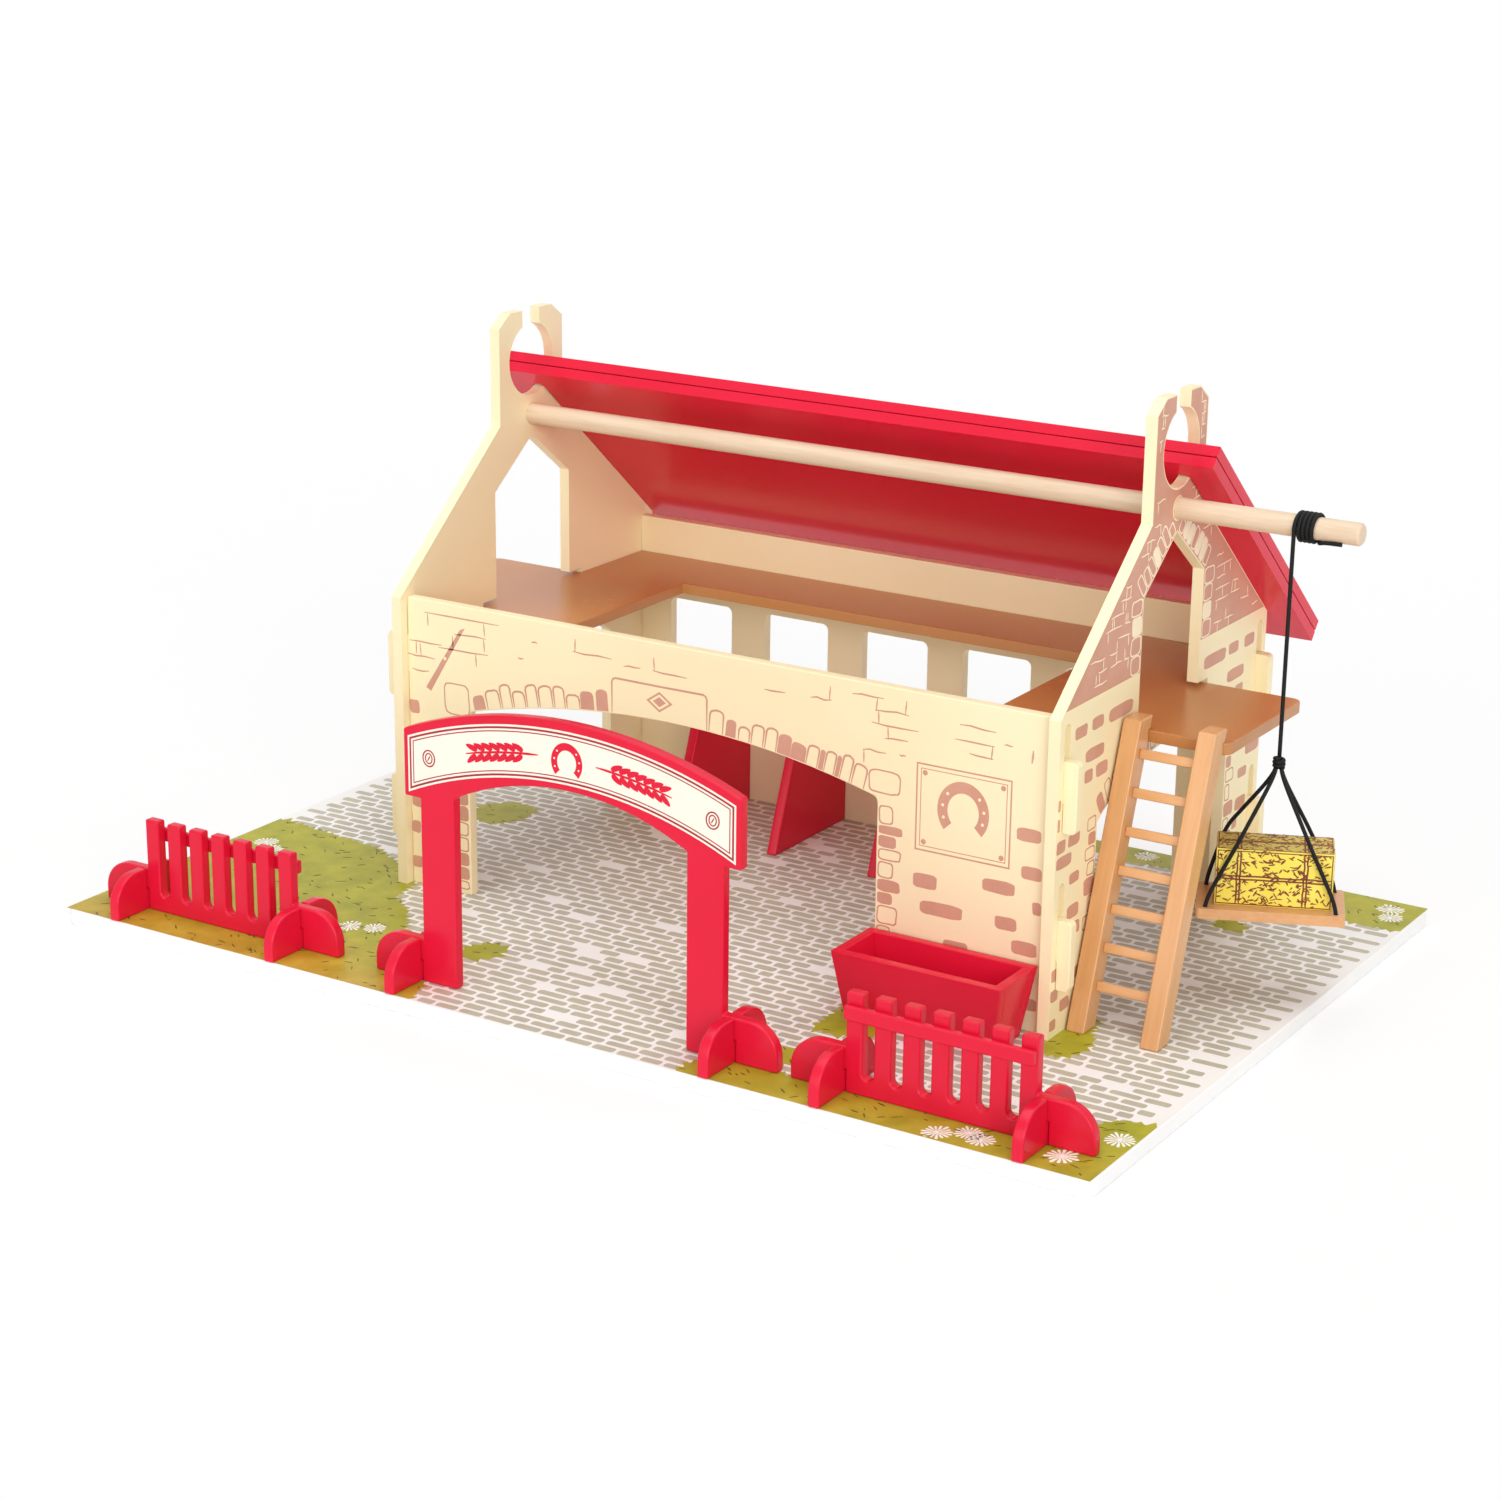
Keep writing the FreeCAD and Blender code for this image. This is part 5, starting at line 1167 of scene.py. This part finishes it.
def flecks(name, source, body, material, slot, sizes, upward_only, place, low, high):
    """Scatter slivers of ink over a piece's faces, and drop those that reach out of a box."""
    grower = Grower(name, sizes)
    given = grower.given
    normal = grower.node("GeometryNodeInputNormal")
    rise = grower.node("ShaderNodeSeparateXYZ", None, {0: normal}, 2)
    chosen = grower.node("FunctionNodeCompare", {"operation": "GREATER_THAN"},
                         {0: rise, 1: 0.5 if upward_only else -0.5})
    points = grower.node("GeometryNodeDistributePointsOnFaces", None, {
        "Mesh": given["Geometry"], "Selection": chosen, "Density": given["Density"], "Seed": given["Seed"]}, "Points")
    facing = Socket(grower.tree, points.out.node.outputs["Rotation"])
    sliver = grower.node("GeometryNodeMeshCone", {"fill_type": "NGON"}, {
        "Vertices": SLIVER_POINTS // 2, "Radius Top": 0.5, "Radius Bottom": 0.5, "Depth": 1.0})
    shaped = grower.node("GeometryNodeTransform", None, {"Geometry": sliver, "Scale": grower.node(
        "ShaderNodeCombineXYZ", None, {"X": given["Length"], "Y": given["Width"], "Z": given["Film"]})})
    spin = grower.chance("FLOAT_VECTOR", {"Min": (0.0, 0.0, -1.1), "Max": (0.0, 0.0, 1.1)})
    turned = grower.node("FunctionNodeRotateRotation", {"rotation_space": "LOCAL"}, {0: facing, 1: spin})
    stretch = grower.chance("FLOAT_VECTOR", {"Min": (0.45, 0.6, 1.0), "Max": (1.3, 1.3, 1.0)})
    slivers = grower.node("GeometryNodeInstanceOnPoints", None, {
        "Points": points, "Instance": shaped, "Rotation": turned, "Scale": stretch})
    grower.finish(slivers, material)
    piece = grower.grow(name, source.data.copy(), body, material, slot)
    form = bmesh.new()
    form.from_mesh(piece.data)
    corners = list(form.verts)
    back = place.inverted()
    spare = []
    for start in range(0, len(corners), SLIVER_POINTS):
        sliver = corners[start:start + SLIVER_POINTS]
        inside = [back @ (corner.co / MM) for corner in sliver]
        if not all(a <= value <= b for point in inside for a, value, b in zip(low, point, high)):
            spare += sliver
    bmesh.ops.delete(form, geom=spare, context="VERTS")
    form.to_mesh(piece.data)
    form.free()


cobble_rows()
lawn = base_prints()
flecks("base_grass_flecks", lawn, "house", STEM, "base_print", {
    "Density": 8000.0, "Length": 5.4 * MM, "Width": 0.85 * MM, "Film": 2.4 * FILM * MM, "Seed": 9}, True,
    Matrix(), (-EDGE_X, -EDGE_Y, 0.0), (EDGE_X, EDGE_Y, 20.0))
BALE_LENGTH, BALE_DEPTH, BALE_HEIGHT = 61.3, 28.0, 31.3
FLECK_REACH = 0.2
bale_place = platform_turn @ Matrix.Translation((1.1, 1.0, 0.0))
bale_corner = (BALE_LENGTH / 2 + FLECK_REACH, BALE_DEPTH / 2 + FLECK_REACH, BALE_HEIGHT + FLECK_REACH)
flecks("hay_bale_flecks", bale, "platform", TWINE, "straw_print", {
    "Density": 165000.0, "Length": 3.7 * MM, "Width": 0.85 * MM, "Film": 2.0 * FILM * MM, "Seed": 6}, False,
    bale_place, (-bale_corner[0], -bale_corner[1], 0.5), bale_corner)


def bale_twine():
    """Draw the bale's twine over its long faces, its ends and its top."""
    rng = random.Random(8)
    length, depth, height = BALE_LENGTH, BALE_DEPTH, BALE_HEIGHT
    turn = bale_place.to_3x3()
    across = turn @ Vector((1, 0, 0))
    inward = turn @ Vector((0, 1, 0))
    middle = bale_place.translation
    up = Vector((0, 0, 1))
    margin = 0.7
    for number, (origin, right, rise, wide, tall, uprights) in enumerate([
            (middle - inward * depth / 2, across, up, length, height, True),
            (middle + inward * depth / 2, -across, up, length, height, True),
            (middle + across * length / 2, inward, up, depth, height, False),
            (middle - across * length / 2, -inward, up, depth, height, False),
            (middle - inward * depth / 2 + up * height, across, inward, length, depth, True)]):
        film = Film(origin, right, rise, 2)
        edge = [(-wide / 2, 0.0), (wide / 2, 0.0), (wide / 2, tall), (-wide / 2, tall)]
        film.add(inset(edge, margin), inset(edge, 1.25))
        runs = []
        if uprights:
            for u in (-length * 0.305, length * 0.262):
                runs.append([(u, margin), (u, tall - margin)])
        runs.append([(-wide / 2 + margin, tall * 0.5), (wide / 2 - margin, tall * 0.5)])
        for start, end in runs:
            start, end = Vector(start), Vector(end)
            run = (end - start).normalized()
            side = Vector((-run.y, run.x))
            for offset in (-0.85, 0.85):
                points = []
                for step in range(13):
                    wave = offset + rng.uniform(-0.25, 0.25)
                    points.append(tuple(start + (end - start) * (step / 12) + side * wave))
                film.add(line(points, 0.9))
        film.piece(f"hay_bale_twine_{number + 1}", "platform", TWINE, "straw_print")


bale_twine()


# Camera, light and floor. The camera's place, turn and lens are the ones fitted to the photograph's straight edges.
CAMERA_PLACE = Vector((909.57, -1450.92, 655.62))
CAMERA_ANGLES = (32.144, 17.855, 0.637)
SENSOR_WIDTH = 36.0
LENS = 76.727
FLOOR_GLOW = 0.62
SKY_LEVEL = 0.2
yaw, pitch, roll = (math.radians(angle) for angle in CAMERA_ANGLES)
ahead = Vector((-math.sin(yaw) * math.cos(pitch), math.cos(yaw) * math.cos(pitch), -math.sin(pitch)))
level = Vector((math.cos(yaw), math.sin(yaw), 0.0))
above = level.cross(ahead)
right = level * math.cos(roll) + above * math.sin(roll)
up = above * math.cos(roll) - level * math.sin(roll)
camera_data = bpy.data.cameras.new("camera")
camera_data.sensor_width = SENSOR_WIDTH
camera_data.lens = LENS
camera = bpy.data.objects.new("camera", camera_data)
scene.collection.objects.link(camera)
camera_turn = Matrix((right, up, -ahead)).transposed().to_4x4()
camera.matrix_world = Matrix.Translation(CAMERA_PLACE * MM) @ camera_turn
scene.camera = camera

world = bpy.data.worlds.new("studio")
world.use_nodes = True
scene.world = world
sky = world.node_tree.nodes["Background"]
sky.inputs["Color"].default_value = (1.0, 1.0, 1.0, 1.0)
rays = world.node_tree.nodes.new("ShaderNodeLightPath").outputs
seen = Socket(world.node_tree, rays["Is Camera Ray"])
mirrored = Socket(world.node_tree, rays["Is Glossy Ray"])
white = seen.math("MAXIMUM", seen, mirrored)
world.node_tree.links.new((white * (1.0 - SKY_LEVEL) + SKY_LEVEL).out, sky.inputs["Strength"])


def soft_sun(name, side, strength, spread):
    """Light the whole studio evenly from one side."""
    data = bpy.data.lights.new(name, "SUN")
    data.energy = strength
    data.angle = math.radians(spread)
    item = bpy.data.objects.new(name, data)
    scene.collection.objects.link(item)
    item.rotation_euler = (-Vector(side)).to_track_quat("-Z", "Y").to_euler()


soft_sun("key_light", (-0.2, -1.0, 0.35), 0.66, 40.0)
soft_sun("fill_light", (0.75, -0.75, 0.38), 1.5, 36.0)
soft_sun("top_light", (0.0, 0.0, 1.0), 1.85, 60.0)


def floor_white():
    """A white floor that keeps the shadow, and comes near the white of the backdrop in the camera's eye."""
    material, shader, place = finish("floor_white", roughness=0.9)
    tree = material.node_tree
    grain = place.noise(40.0)
    feed(shader, base_color=grain.mixed(colour(250, 250, 250), colour(252, 252, 252)))
    seen = place.node("ShaderNodeLightPath", None, None, "Is Camera Ray")
    paint = Socket(tree, shader.outputs[0])
    glow = place.node("ShaderNodeEmission")
    both = place.node("ShaderNodeMixShader", None, {0: seen * FLOOR_GLOW, 1: paint, 2: glow})
    tree.links.new(both.out, tree.nodes["Material Output"].inputs["Surface"])
    return material


floor_form = bmesh.new()
bmesh.ops.create_grid(floor_form, x_segments=2, y_segments=2, size=14.0)
floor_mesh = bpy.data.meshes.new("studio_floor")
floor_form.to_mesh(floor_mesh)
floor_form.free()
floor = link("studio_floor", floor_mesh)
floor.data.materials.append(floor_white())
